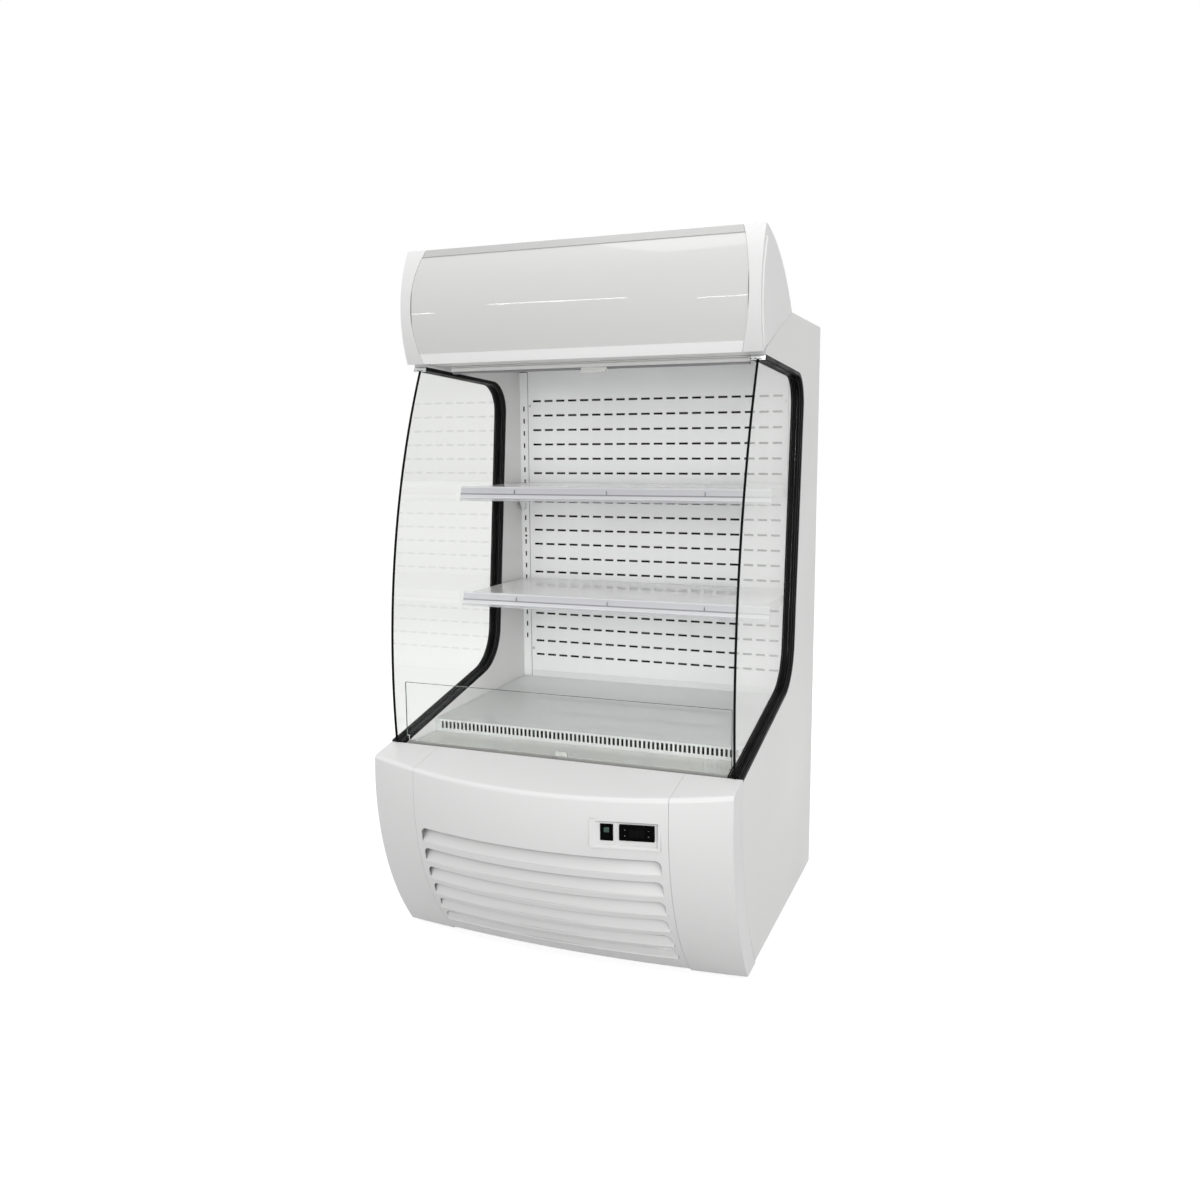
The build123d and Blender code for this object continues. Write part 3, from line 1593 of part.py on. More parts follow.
def make_fan_plate():
    """Upright plate ahead of the evaporator, with two fan rings and motors."""
    low = tank_bottom + foam
    top = deck_front_height + (deck_rear_height - deck_front_height) * 0.3 - sheet - 1
    with BuildPart() as plate:
        with BuildSketch(front_plane(fan_plate_depth - sheet)):
            with Locations((0, (low + top) / 2)):
                Rectangle(2 * (inner_half - fit_gap), top - low)
            with Locations((0, evaporator_fan_height)):
                with GridLocations(2 * evaporator_fan_x, 1, 2, 1):
                    Circle(evaporator_fan_radius + 3, mode=Mode.SUBTRACT)
        extrude(amount=sheet)
        for x in (-evaporator_fan_x, evaporator_fan_x):
            with BuildSketch(front_plane(fan_plate_depth)):
                with Locations((x, evaporator_fan_height)):
                    Circle(evaporator_fan_radius + 4.5)
                    Circle(evaporator_fan_radius + 3, mode=Mode.SUBTRACT)
            extrude(amount=26)
            with BuildSketch(front_plane(fan_plate_depth + 26)):
                with Locations((x, evaporator_fan_height)):
                    Rectangle(2 * evaporator_fan_radius + 9, 10)
                    Rectangle(10, 2 * evaporator_fan_radius + 9)
            extrude(amount=4)
            with Locations((x, rear_y - fan_plate_depth - 26 - 14, evaporator_fan_height)):
                Cylinder(22, 28, rotation=(90, 0, 0))
            with Locations((x, rear_y - fan_plate_depth - 18, evaporator_fan_height)):
                Cylinder(evaporator_shaft, 28, rotation=(90, 0, 0))
    return plate.part


# ---------------------------------------------------------------- build and write every piece
for name, side in sides.items():
    save(make_side_panel(side), f"side_panel_{name}")
    save(make_channel(side), f"glass_channel_{name}")
    save(make_side_glass(side), f"side_glass_{name}")
    save(make_base_cap(side), f"base_cap_{name}")
    save(make_canopy_cap(side), f"canopy_cap_{name}")

save(make_edge_strips(), "glass_edge_strips")
save(make_back_wall(), "back_wall")
save(make_tank(), "insulated_floor")
save(make_roof(), "roof_panel")
save(make_ceiling(), "ceiling_liner")
save(make_air_outlet(), "air_outlet")
save(make_duct_panel(), "back_duct_panel")
save(make_uprights(), "shelf_uprights")
save(make_deck(), "deck_tray")
save(make_return_grille(), "return_grille")
save(make_sill_plate(), "sill_plate")
save(make_guard_glass(), "guard_glass")
save(make_louvred_panel(), "louvred_panel")
save(make_diffuser(), "canopy_diffuser")
save(make_canopy_rail(diffuser_top, canopy_top + 5, canopy_seam_depth), "canopy_top_rail")
save(make_canopy_rail(canopy_front_low[1] - 5, diffuser_low, 670), "canopy_bottom_rail")
save(make_canopy_back(), "canopy_back")
save(make_underside(), "canopy_underside")
save(make_lamp(), "lamp_tube")
save(make_batten(), "lamp_batten")
save(make_roller(), "blind_roller")
save(make_blind_cloth(), "blind_cloth")
save(make_blind_bar(), "blind_bar")
save(make_switch_body(), "switch_body")
save(make_rocker(), "switch_rocker")
save(make_controller(), "controller")
for index, place in enumerate(key_places):
    save(make_key(place), f"controller_key_{index + 1}")
for level, height in shelf_heights.items():
    save(make_shelf(height), f"shelf_{level}")
    save(make_price_rail(height), f"price_rail_{level}")
    save(make_brackets(height, bracket_slots[level]), f"shelf_brackets_{level}")
save(make_base_frame(), "base_frame")
save(make_feet(), "levelling_feet")
save(make_compressor(), "compressor")
save(make_condenser(), "condenser")
save(make_fan_shroud(), "condenser_fan_shroud")
condenser_fan_place = (0, condenser_fan_depth, condenser_fan_height)
save(make_fan(condenser_fan_place, condenser_fan_radius, 5, 26, 30, condenser_shaft), "condenser_fan")
save(make_evaporator(), "evaporator")
save(make_fan_plate(), "evaporator_fan_plate")
for name, side in sides.items():
    fan_place = (side * evaporator_fan_x, fan_plate_depth + 12, evaporator_fan_height)
    save(make_fan(fan_place, evaporator_fan_radius, 5, 15, 18, evaporator_shaft), f"evaporator_fan_{name}")
save(make_drip_tray(), "drip_tray")
save(make_electrical_box(), "electrical_box")
save(make_rear_grille(), "rear_grille")
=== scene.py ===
"""Looks of the open multideck display fridge: finishes, small parts, light and camera."""

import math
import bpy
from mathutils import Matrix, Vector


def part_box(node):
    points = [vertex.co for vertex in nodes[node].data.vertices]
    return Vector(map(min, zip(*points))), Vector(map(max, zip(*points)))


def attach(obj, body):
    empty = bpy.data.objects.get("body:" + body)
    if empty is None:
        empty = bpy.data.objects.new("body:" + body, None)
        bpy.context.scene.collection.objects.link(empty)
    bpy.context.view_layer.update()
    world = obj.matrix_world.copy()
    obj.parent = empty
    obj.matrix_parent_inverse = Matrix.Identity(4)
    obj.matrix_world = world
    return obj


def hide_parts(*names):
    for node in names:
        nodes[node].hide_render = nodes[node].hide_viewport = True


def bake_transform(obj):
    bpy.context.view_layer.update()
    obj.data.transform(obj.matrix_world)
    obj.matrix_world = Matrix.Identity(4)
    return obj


bl_info = {
    "name": "Multideck Fridge Looks",
    "version": (1, 0, 0),
    "blender": (4, 5, 0),
    "location": "View3D > Sidebar > Fridge",
    "description": "Finishes, small parts and studio for an open multideck display fridge",
    "category": "Object",
}

import bmesh
import bpy
from mathutils import Matrix, Vector

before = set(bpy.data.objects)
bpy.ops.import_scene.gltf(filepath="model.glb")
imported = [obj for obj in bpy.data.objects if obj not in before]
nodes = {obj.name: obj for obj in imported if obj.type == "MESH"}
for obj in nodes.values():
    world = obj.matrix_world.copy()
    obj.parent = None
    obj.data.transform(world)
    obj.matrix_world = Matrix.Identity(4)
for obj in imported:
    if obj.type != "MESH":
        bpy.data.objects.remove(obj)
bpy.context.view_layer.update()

SIDES = (-1, 1)
UP = (0, 0, 1)
FRONT = (0, -1, 0)
BACK = (0, 1, 0)


# ---- settings
class FridgeLooks(bpy.types.PropertyGroup):
    coat_colour: bpy.props.FloatVectorProperty(
        name="Coating",
        description="White coating of the outer sheet metal",
        subtype="COLOR",
        default=(0.745, 0.742, 0.735),
    )
    # Lighter than the outer coating: a lit copy of the white coating, painted light that evens out the
    # shade in the cold space.
    liner_colour: bpy.props.FloatVectorProperty(
        name="Liner",
        description="White coating inside the cold space",
        subtype="COLOR",
        default=(0.92, 0.922, 0.927),
    )
    deck_colour: bpy.props.FloatVectorProperty(
        name="Deck",
        description="Glossy coating of the bottom deck",
        subtype="COLOR",
        default=(0.56, 0.57, 0.565),
    )
    # Darker than the white coating: painted shade on the rail's upward face.
    rail_colour: bpy.props.FloatVectorProperty(
        name="Top rail",
        description="Coating of the canopy's top rail",
        subtype="COLOR",
        default=(0.53, 0.53, 0.525),
    )
    moulding_colour: bpy.props.FloatVectorProperty(
        name="Mouldings",
        description="Moulded corners and canopy ends",
        subtype="COLOR",
        default=(0.82, 0.818, 0.815),
    )
    panel_colour: bpy.props.FloatVectorProperty(
        name="Light panel",
        description="Opal panel of the canopy",
        subtype="COLOR",
        default=(0.69, 0.69, 0.68),
    )
    seal_colour: bpy.props.FloatVectorProperty(
        name="Rubber",
        description="Glass channels and edge strips",
        subtype="COLOR",
        default=(0.004, 0.004, 0.0042),
    )
    lens_colour: bpy.props.FloatVectorProperty(
        name="Rocker lens",
        description="Green lens of the main switch",
        subtype="COLOR",
        default=(0.010, 0.055, 0.036),
    )
    screw_radius: bpy.props.FloatProperty(
        name="Screw head", description="Radius of a screw head", default=0.004, unit="LENGTH"
    )


class FridgeStudio(bpy.types.PropertyGroup):
    lens: bpy.props.FloatProperty(
        name="Lens", description="Focal length in millimetres", default=32.26
    )
    camera_place: bpy.props.FloatVectorProperty(
        name="Camera",
        description="Where the camera stands",
        subtype="XYZ",
        unit="LENGTH",
        default=(1.0050, -2.5624, 1.2410),
    )
    yaw: bpy.props.FloatProperty(
        name="Yaw",
        description="Turn of the view to the left",
        subtype="ANGLE",
        default=math.radians(21.71),
    )
    pitch: bpy.props.FloatProperty(
        name="Pitch",
        description="Tilt of the view downwards",
        subtype="ANGLE",
        default=math.radians(8.26),
    )
    roll: bpy.props.FloatProperty(
        name="Roll", description="Roll of the view", subtype="ANGLE", default=math.radians(-0.40)
    )
    sky: bpy.props.FloatProperty(
        name="Room light", description="Strength of the even room light", default=0.46
    )
    key: bpy.props.FloatProperty(
        name="Key light", description="Power of the large soft lamp", default=81.0, unit="POWER"
    )


def looks():
    return bpy.context.scene.fridge_looks


# ---- shader nodes
FINE_RELIEF = 0.0002


def feed(tree, node, inputs):
    """Sets inputs of a node, each by a constant or by a link from an output."""
    for label, value in inputs.items():
        if isinstance(value, bpy.types.NodeSocket):
            tree.links.new(value, node.inputs[label])
        else:
            node.inputs[label].default_value = value


def add_node(tree, kind, inputs=None, **settings):
    """Adds a shader node of a kind, with its settings and inputs."""
    node = tree.nodes.new(kind)
    for label, value in settings.items():
        setattr(node, label, value)
    feed(tree, node, inputs or {})
    return node


def calculate(tree, operation, *terms):
    """Result of a calculation on numbers or outputs."""
    node = add_node(tree, "ShaderNodeMath", operation=operation)
    feed(tree, node, dict(enumerate(terms)))
    return node.outputs[0]


def stretch_range(tree, value, low=0.0, high=1.0, to_low=0.0, to_high=1.0, curve="LINEAR"):
    """Value moved from one range to another and kept inside it."""
    inputs = {"Value": value, "From Min": low, "From Max": high, "To Min": to_low, "To Max": to_high}
    return add_node(tree, "ShaderNodeMapRange", inputs, interpolation_type=curve).outputs["Result"]


def mix_colours(tree, share, first, second):
    """Mix of two colours, each a plain colour or an output."""
    first, second = (c if isinstance(c, bpy.types.NodeSocket) else (*c, 1.0) for c in (first, second))
    inputs = {"Factor": share, "A": first, "B": second}
    return add_node(tree, "ShaderNodeMix", inputs, data_type="RGBA").outputs["Result"]


def colour_steps(tree, position, stops):
    """Colour along a row of stops, lowest first."""
    band = add_node(tree, "ShaderNodeValToRGB", {"Fac": position})
    while len(band.color_ramp.elements) < len(stops):
        band.color_ramp.elements.new(0.5)
    for stop, (spot, colour) in zip(band.color_ramp.elements, stops):
        stop.position = spot
        stop.color = (*colour, 1.0)
    return band.outputs["Color"]


def place_on_piece(tree):
    """Object coordinates, as one vector."""
    return tree.nodes.new("ShaderNodeTexCoord").outputs["Object"]


def axis_on_piece(tree, axis):
    """One axis of the Object coordinates."""
    split = add_node(tree, "ShaderNodeSeparateXYZ", {0: place_on_piece(tree)})
    return split.outputs[axis]


def add_relief(tree, shader, height, strength, distance=FINE_RELIEF, normal=None):
    """Bump from a height, on the shader's normal."""
    inputs = {"Strength": strength, "Distance": distance, "Height": height}
    relief = add_node(tree, "ShaderNodeBump", inputs)
    if normal:
        tree.links.new(normal, relief.inputs["Normal"])
    tree.links.new(relief.outputs["Normal"], shader.inputs["Normal"])


def seen_rays(tree):
    """1 for rays from the camera and for what metal or glass shows, 0 for the light on the object."""
    path = tree.nodes.new("ShaderNodeLightPath").outputs
    seen = calculate(tree, "MAXIMUM", path["Is Camera Ray"], path["Is Glossy Ray"])
    return calculate(tree, "MAXIMUM", seen, path["Is Transmission Ray"])


def shade(colour, factor):
    """Colour made darker or lighter, up to white."""
    return [min(1.0, max(0.0, part * factor)) for part in colour]


def grey(level):
    return (level, level, level)


# ---- shared shader groups
def new_group(name, inputs, outputs):
    """Empty shader node group with named inputs and outputs."""
    tree = bpy.data.node_groups.new(name, "ShaderNodeTree")
    for label, kind, value in inputs:
        socket = tree.interface.new_socket(name=label, in_out="INPUT", socket_type=kind)
        socket.default_value = value
    for label, kind in outputs:
        tree.interface.new_socket(name=label, in_out="OUTPUT", socket_type=kind)
    return tree, tree.nodes.new("NodeGroupInput").outputs, tree.nodes.new("NodeGroupOutput").inputs


def build_grain():
    """Fine grain for bumps and a slow change of tone, both on Object coordinates."""
    tree, start, end = new_group(
        "surface_grain",
        [("Grain Scale", "NodeSocketFloat", 900.0), ("Tone Scale", "NodeSocketFloat", 3.0)],
        [("Grain", "NodeSocketFloat"), ("Tone", "NodeSocketFloat")],
    )
    place = place_on_piece(tree)
    for target, detail in (("Grain", 3.0), ("Tone", 4.0)):
        inputs = {"Vector": place, "Scale": start[f"{target} Scale"], "Detail": detail}
        noise = add_node(tree, "ShaderNodeTexNoise", inputs)
        tree.links.new(noise.outputs["Fac"], end[target])
    return tree


def build_lines():
    """Long fine lines along one axis, as brushing or drawing leaves."""
    tree, start, end = new_group(
        "drawn_lines",
        [("Stretch", "NodeSocketVector", (4.0, 900.0, 900.0))],
        [("Lines", "NodeSocketFloat")],
    )
    inputs = {0: place_on_piece(tree), 1: start["Stretch"]}
    scaled = add_node(tree, "ShaderNodeVectorMath", inputs, operation="MULTIPLY")
    inputs = {"Vector": scaled.outputs[0], "Scale": 1.0, "Detail": 3.0}
    noise = add_node(tree, "ShaderNodeTexNoise", inputs)
    tree.links.new(noise.outputs["Fac"], end["Lines"])
    return tree


def build_soft_edges():
    """Normal with a small round on each edge, as a coat of paint or a mould leaves."""
    tree, start, end = new_group(
        "soft_edges", [("Radius", "NodeSocketFloat", 0.001)], [("Normal", "NodeSocketVector")]
    )
    bevel = add_node(tree, "ShaderNodeBevel", {"Radius": start["Radius"]}, samples=4)
    tree.links.new(bevel.outputs["Normal"], end["Normal"])
    return tree


def build_ribs():
    """Regular ribs along one axis: thin fins, or one direction of a weave."""
    tree, start, end = new_group(
        "even_ribs", [("Pitch", "NodeSocketVector", (500.0, 0.0, 0.0))], [("Ribs", "NodeSocketFloat")]
    )
    inputs = {0: place_on_piece(tree), 1: start["Pitch"]}
    along = add_node(tree, "ShaderNodeVectorMath", inputs, operation="DOT_PRODUCT")
    tree.links.new(calculate(tree, "SINE", along.outputs["Value"]), end["Ribs"])
    return tree


def build_slot_shade_mask():
    """Mask of painted shade round evenly spaced slots, on Object X and Z."""
    sizes = [f"{size} {axis}" for axis in "XZ" for size in ("Pitch", "Half", "Reach", "Offset")]
    inputs = [("Middle", "NodeSocketVector", (0.0, 0.0, 1.0))]
    inputs += [(size, "NodeSocketFloat", 0.01) for size in sizes]
    tree, start, end = new_group("slot_shade_mask", inputs, [("Slot Shade", "NodeSocketFloat")])
    inputs = {0: place_on_piece(tree), 1: start["Middle"]}
    shift = add_node(tree, "ShaderNodeVectorMath", inputs, operation="SUBTRACT")
    split = add_node(tree, "ShaderNodeSeparateXYZ", {0: shift.outputs[0]})
    held = 1.0
    for axis in "XZ":
        spot = split.outputs[axis]
        half_pitch = calculate(tree, "MULTIPLY", start[f"Pitch {axis}"], 0.5)
        from_slot = calculate(tree, "ADD", spot, start[f"Offset {axis}"])
        away = calculate(tree, "PINGPONG", from_slot, half_pitch)
        near = calculate(tree, "LESS_THAN", away, start[f"Half {axis}"])
        inside = calculate(tree, "COMPARE", spot, 0.0, start[f"Reach {axis}"])
        held = calculate(tree, "MULTIPLY", held, calculate(tree, "MULTIPLY", near, inside))
    tree.links.new(held, end["Slot Shade"])
    return tree


GROUP_MAKERS = {
    "grain": build_grain,
    "lines": build_lines,
    "edges": build_soft_edges,
    "ribs": build_ribs,
    # The rims group paints shade round slots.
    "rims": build_slot_shade_mask,
}
GROUPS = {}


def place_group(tree, name, **values):
    """Places a shared group, built at its first use, and gives its outputs."""
    if name not in GROUPS:
        GROUPS[name] = GROUP_MAKERS[name]()
    node = add_node(tree, "ShaderNodeGroup", node_tree=GROUPS[name])
    feed(tree, node, {label.replace("_", " ").title(): value for label, value in values.items()})
    return node.outputs


# ---- materials
def texture(tone_scale, tone_spread, rough_spread, grain_scale, bump):
    """Named values of one surface texture."""
    return {
        "tone_scale": tone_scale,
        "tone_spread": tone_spread,
        "rough_spread": rough_spread,
        "grain_scale": grain_scale,
        "bump": bump,
    }


SHEET = texture(2.5, 0.015, 0.05, 700.0, 0.10)
DECK = texture(2.5, 0.015, 0.02, 700.0, 0.0)
MOULDED = texture(4.0, 0.012, 0.05, 2600.0, 0.16)
OPAL = texture(2.0, 0.012, 0.03, 200.0, 0.01)
LAMP_GLASS = texture(6.0, 0.02, 0.05, 300.0, 0.05)
GLASS_EDGE = texture(40.0, 0.2, 0.05, 900.0, 0.1)
CLIP = texture(30.0, 0.05, 0.05, 900.0, 0.1)
GLOSS = texture(50.0, 0.3, 0.04, 1800.0, 0.06)
LENS = texture(160.0, 0.8, 0.04, 1400.0, 0.1)
PRINT = texture(300.0, 0.3, 0.1, 2000.0, 0.1)

LEAST_ROUGHNESS = 0.02
ROUGH_REACH = 2.5
LAMP_PASS = (0.94, 0.945, 0.94, 1.0)
# Painted shade behind the front face of punched sheets, inside their slots.
SLOT_DEPTH_SHADE = (0.008, 0.008, 0.009)
FACE_SKIN = 0.0003
MATERIALS = {}


def base_material(name, colour, roughness, **sockets):
    """Principled material with constants on its own sockets."""
    material = bpy.data.materials.new(name)
    material.use_nodes = True
    tree = material.node_tree
    shader = tree.nodes["Principled BSDF"]
    feed(tree, shader, {"Base Color": (*colour, 1.0), "Roughness": roughness})
    for label, value in sockets.items():
        shader.inputs[label.replace("_", " ").title().replace("Ior", "IOR")].default_value = value
    MATERIALS[name] = material
    return material, tree, shader


def textured(name, colour, roughness, values, edge=0.0, **sockets):
    """Material with uneven tone and roughness, fine grain and softened edges; gives its tone too."""
    material, tree, shader = base_material(name, colour, roughness, **sockets)
    scales = {label: values[label] for label in ("grain_scale", "tone_scale")}
    grain = place_group(tree, "grain", **scales)
    spread = values["tone_spread"]
    tone = mix_colours(tree, grain["Tone"], shade(colour, 1 - spread), shade(colour, 1 + spread))
    reach = ROUGH_REACH * values["rough_spread"]
    low, high = max(LEAST_ROUGHNESS, roughness - reach), min(1.0, roughness + reach)
    rough = stretch_range(tree, grain["Tone"], to_low=low, to_high=high)
    feed(tree, shader, {"Base Color": tone, "Roughness": rough})
    soft = place_group(tree, "edges", radius=edge)["Normal"] if edge else None
    add_relief(tree, shader, grain["Grain"], values["bump"], normal=soft)
    return material, tree, shader, tone


def coated_metal(name, colour, roughness=0.37, edge=0.0008):
    return textured(name, colour, roughness, SHEET, edge, coat_weight=0.25, coat_roughness=0.18)[0]


def moulded_plastic(name, colour, roughness=0.36, edge=0.0015):
    return textured(name, colour, roughness, MOULDED, edge)[0]


def black_rubber(name, colour, roughness=0.5, grain=1500.0, shine=0.12):
    values = texture(14.0, 0.35, 0.10, grain, 0.35)
    return textured(name, colour, roughness, values, specular_ior_level=shine)[0]


def gloss_black(name, colour, roughness):
    return textured(name, colour, roughness, GLOSS, specular_ior_level=0.03)[0]


def rubber_with_highlights(name, colour, bands):
    """Black rubber with painted highlights: its lips and groove edges, at set distances from the
    middle, are a lighter grey.
    """
    material = black_rubber(name, colour, 0.44, shine=0.045)
    tree = material.node_tree
    out = calculate(tree, "ABSOLUTE", axis_on_piece(tree, "X"))
    low, high = bands[0][0], bands[-1][0]
    stops = [((spot - low) / (high - low), grey(level)) for spot, level in bands]
    tint = colour_steps(tree, stretch_range(tree, out, low, high), stops)
    tree.links.new(tint, tree.nodes["Principled BSDF"].inputs["Base Color"])
    return material


def clear_glass(name, tint, ior):
    """Thin glass; light from lamps passes straight through it."""
    material, tree, shader = base_material(name, tint, 0.0, transmission_weight=1.0, ior=ior)
    tone = place_group(tree, "grain", grain_scale=60.0, tone_scale=1.4)["Tone"]
    smear = mix_colours(tree, tone, shade(tint, 0.985), shade(tint, 1.015))
    tree.links.new(smear, shader.inputs["Base Color"])
    let_lamps_through(tree, shader)
    return material


def let_lamps_through(tree, shader):
    """Puts a nearly clear shader in place of the glass for shadow rays only."""
    clear = add_node(tree, "ShaderNodeBsdfTransparent", {"Color": LAMP_PASS})
    path = tree.nodes.new("ShaderNodeLightPath")
    inputs = {0: path.outputs["Is Shadow Ray"], 1: shader.outputs["BSDF"], 2: clear.outputs["BSDF"]}
    mix = add_node(tree, "ShaderNodeMixShader", inputs)
    tree.links.new(mix.outputs["Shader"], tree.nodes["Material Output"].inputs["Surface"])


def brushed_metal(name, colour, roughness, stretch, metallic=1.0):
    """Metal with fine lines, stretched by their scale along each axis."""
    material, tree, shader = base_material(name, colour, roughness, metallic=metallic)
    lines = place_group(tree, "lines", stretch=stretch)["Lines"]
    tint = mix_colours(tree, lines, shade(colour, 0.86), shade(colour, 1.08))
    tree.links.new(tint, shader.inputs["Base Color"])
    add_relief(tree, shader, lines, 0.12)
    return material


def finned_metal(name, colour, pitch):
    """Stack of thin fins on one block: painted shade in the dark gaps, and bright edges, at an even
    pitch.
    """
    material, tree, shader = base_material(name, colour, 0.38, metallic=0.9)
    fins = stretch_range(tree, place_group(tree, "ribs", pitch=pitch)["Ribs"], -0.4, 0.6)
    # The gaps between fins get painted shade.
    tree.links.new(mix_colours(tree, fins, shade(colour, 0.12), colour), shader.inputs["Base Color"])
    add_relief(tree, shader, fins, 0.8, 0.001)
    return material


def woven_blind(name, colour):
    """Close plain weave of the blind's cloth."""
    material, tree, shader = base_material(name, colour, 0.75, sheen_weight=0.25)
    across = place_group(tree, "ribs", pitch=(5200.0, 0.0, 0.0))["Ribs"]
    along = place_group(tree, "ribs", pitch=(0.0, 1200.0, 5000.0))["Ribs"]
    weave = stretch_range(tree, calculate(tree, "MULTIPLY", across, along), -1.0, 1.0)
    tree.links.new(mix_colours(tree, weave, shade(colour, 0.78), colour), shader.inputs["Base Color"])
    add_relief(tree, shader, weave, 0.4)
    return material


def duct_shaded_sheet(name, colour, duct_shade_colour, shade_from_y):
    """White outside; dark on the side that faces the air duct, as painted shade inside the duct."""
    material, tree, shader, tone = textured(
        name, colour, 0.37, SHEET, coat_weight=0.2, coat_roughness=0.2
    )
    inner = calculate(tree, "LESS_THAN", axis_on_piece(tree, "Y"), shade_from_y)
    tree.links.new(mix_colours(tree, inner, tone, duct_shade_colour), shader.inputs["Base Color"])
    return material


def punched_sheet(name, colour, front_y):
    """Coated front face; everything behind it, the cut edges of the slots too, is painted dark as the
    shade inside the slots.
    """
    material, tree, shader, tone = textured(
        name, colour, 0.18, SHEET, coat_weight=0.3, coat_roughness=0.12
    )
    behind = calculate(tree, "GREATER_THAN", axis_on_piece(tree, "Y"), front_y + FACE_SKIN)
    tree.links.new(mix_colours(tree, behind, tone, SLOT_DEPTH_SHADE), shader.inputs["Base Color"])
    return material


def finish_nodes(material, *names):
    """Gives carried-over pieces this material."""
    for name in names:
        piece = nodes[name]
        if not piece.material_slots:
            piece.data.materials.append(material)
        for place in piece.material_slots:
            place.material = material


def metal_screws():
    if "zinc_screws" not in MATERIALS:
        brushed_metal("zinc_screws", (0.55, 0.56, 0.56), 0.3, (300.0, 300.0, 300.0))
    return MATERIALS["zinc_screws"]


def dark_clip():
    if "clip_grey" not in MATERIALS:
        textured("clip_grey", (0.25, 0.25, 0.26), 0.4, CLIP)
    return MATERIALS["clip_grey"]


# ---- piece helpers
SHARP_ANGLE = math.radians(32)


def link_piece(name, shape, material):
    """Turns a finished bmesh into a named object with smooth faces and sharp edges."""
    mesh = bpy.data.meshes.new(name)
    shape.to_mesh(mesh)
    shape.free()
    mesh.materials.append(material)
    mesh.shade_smooth()
    mesh.set_sharp_from_angle(angle=SHARP_ANGLE)
    piece = bpy.data.objects.new(name, mesh)
    bpy.context.scene.collection.objects.link(piece)
    return piece


def add_piece(name, shape, material, body):
    """Makes a named piece that rides on a body."""
    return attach(link_piece(name, shape, material), body)


def at(x, y, z):
    return Matrix.Translation((x, y, z))


def facing(place, outward, up=UP):
    """Placement whose local Z points outward."""
    outward = Vector(outward).normalized()
    side = Vector(up).cross(outward)
    if side.length < 1e-6:
        side = Vector((1, 0, 0))
    side.normalize()
    rise = outward.cross(side)
    turn = Matrix((side, rise, outward)).transposed().to_4x4()
    return Matrix.Translation(Vector(place)) @ turn


def edges_at(verts):
    """Edges at these vertices, each once and always in the same order."""
    return list(dict.fromkeys(edge for vert in verts for edge in vert.link_edges))


def bevel_edges(target, verts, edges, width):
    """Bevels edges of a shape and gives all the vertices that the shape then has."""
    result = bmesh.ops.bevel(
        target, geom=edges, offset=width, affect="EDGES", segments=2, profile=0.5, material=-1
    )
    return list({v for f in result["faces"] for v in f.verts} | {v for v in verts if v.is_valid})


def add_block(target, size, placement, bevel=0.0):
    """Adds a block with softened edges to a bmesh."""
    verts = bmesh.ops.create_cube(target, size=1.0)["verts"]
    bmesh.ops.scale(target, vec=size, verts=verts)
    if bevel:
        verts = bevel_edges(target, verts, edges_at(verts), bevel)
    bmesh.ops.transform(target, matrix=placement, verts=verts)


def add_disc(target, radius, depth, placement, segments=32, bevel=0.0):
    """Round button, cap or plug."""
    verts = bmesh.ops.create_cone(
        target,
        cap_ends=True,
        cap_tris=False,
        segments=segments,
        radius1=radius,
        radius2=radius,
        depth=depth,
    )["verts"]
    if bevel:
        rims = [e for e in edges_at(verts) if any(len(f.verts) > 4 for f in e.link_faces)]
        verts = bevel_edges(target, verts, rims, bevel)
    bmesh.ops.transform(target, matrix=placement, verts=verts)


def extrude_face(target, face):
    """Extrudes one face and gives the new one."""
    grown = bmesh.ops.extrude_face_region(target, geom=[face])
    return [item for item in grown["geom"] if isinstance(item, bmesh.types.BMFace)][0]


def add_screw(target, placement, radius):
    """Pan head with a cross recess."""
    earlier = set(target.verts)
    height = radius * 0.55
    made = bmesh.ops.create_circle(target, cap_ends=True, radius=radius, segments=24)
    top = extrude_face(target, made["verts"][0].link_faces[0])
    bmesh.ops.translate(target, vec=(0, 0, height * 0.55), verts=top.verts)
    for width, rise in ((radius * 0.18, height * 0.32), (radius * 0.22, height * 0.13)):
        bmesh.ops.inset_individual(target, faces=[top], thickness=width, depth=rise)
    arm, slot = radius * 0.5, radius * 0.12
    notch = (arm + slot) / 2
    quarter_cross = ((arm, 0), (arm, slot), (notch, slot), (slot, slot), (slot, notch), (slot, arm))
    for vert in top.verts:
        turn = round(math.degrees(math.atan2(vert.co.y, vert.co.x)) / 15) % 24
        quarter, step = divmod(turn, 6)
        x, y = quarter_cross[step]
        for _ in range(quarter):
            x, y = -y, x
        vert.co.x, vert.co.y = x, y
    floor = extrude_face(target, top)
    bmesh.ops.translate(target, vec=(0, 0, -height * 0.5), verts=floor.verts)
    if top.is_valid:
        bmesh.ops.delete(target, geom=[top], context="FACES_ONLY")
    fresh = [vert for vert in target.verts if vert not in earlier]
    bmesh.ops.transform(target, matrix=placement, verts=fresh)


def add_screws(name, placements):
    """Piece with a screw at each placement, on the cabinet."""
    screws = bmesh.new()
    for placement in placements:
        add_screw(screws, placement, looks().screw_radius)
    add_piece(name, screws, metal_screws(), "cabinet")


# ---- shell
# Painted shade on the back wall's side inside the air duct, and where it begins.
DUCT_SHADE = (0.018, 0.018, 0.019)
DUCT_SHADE_FROM_Y = 0.46
COVER_SCREWS = [(x, z) for x in (-0.395, -0.13, 0.13, 0.395) for z in (0.075, 0.328)]


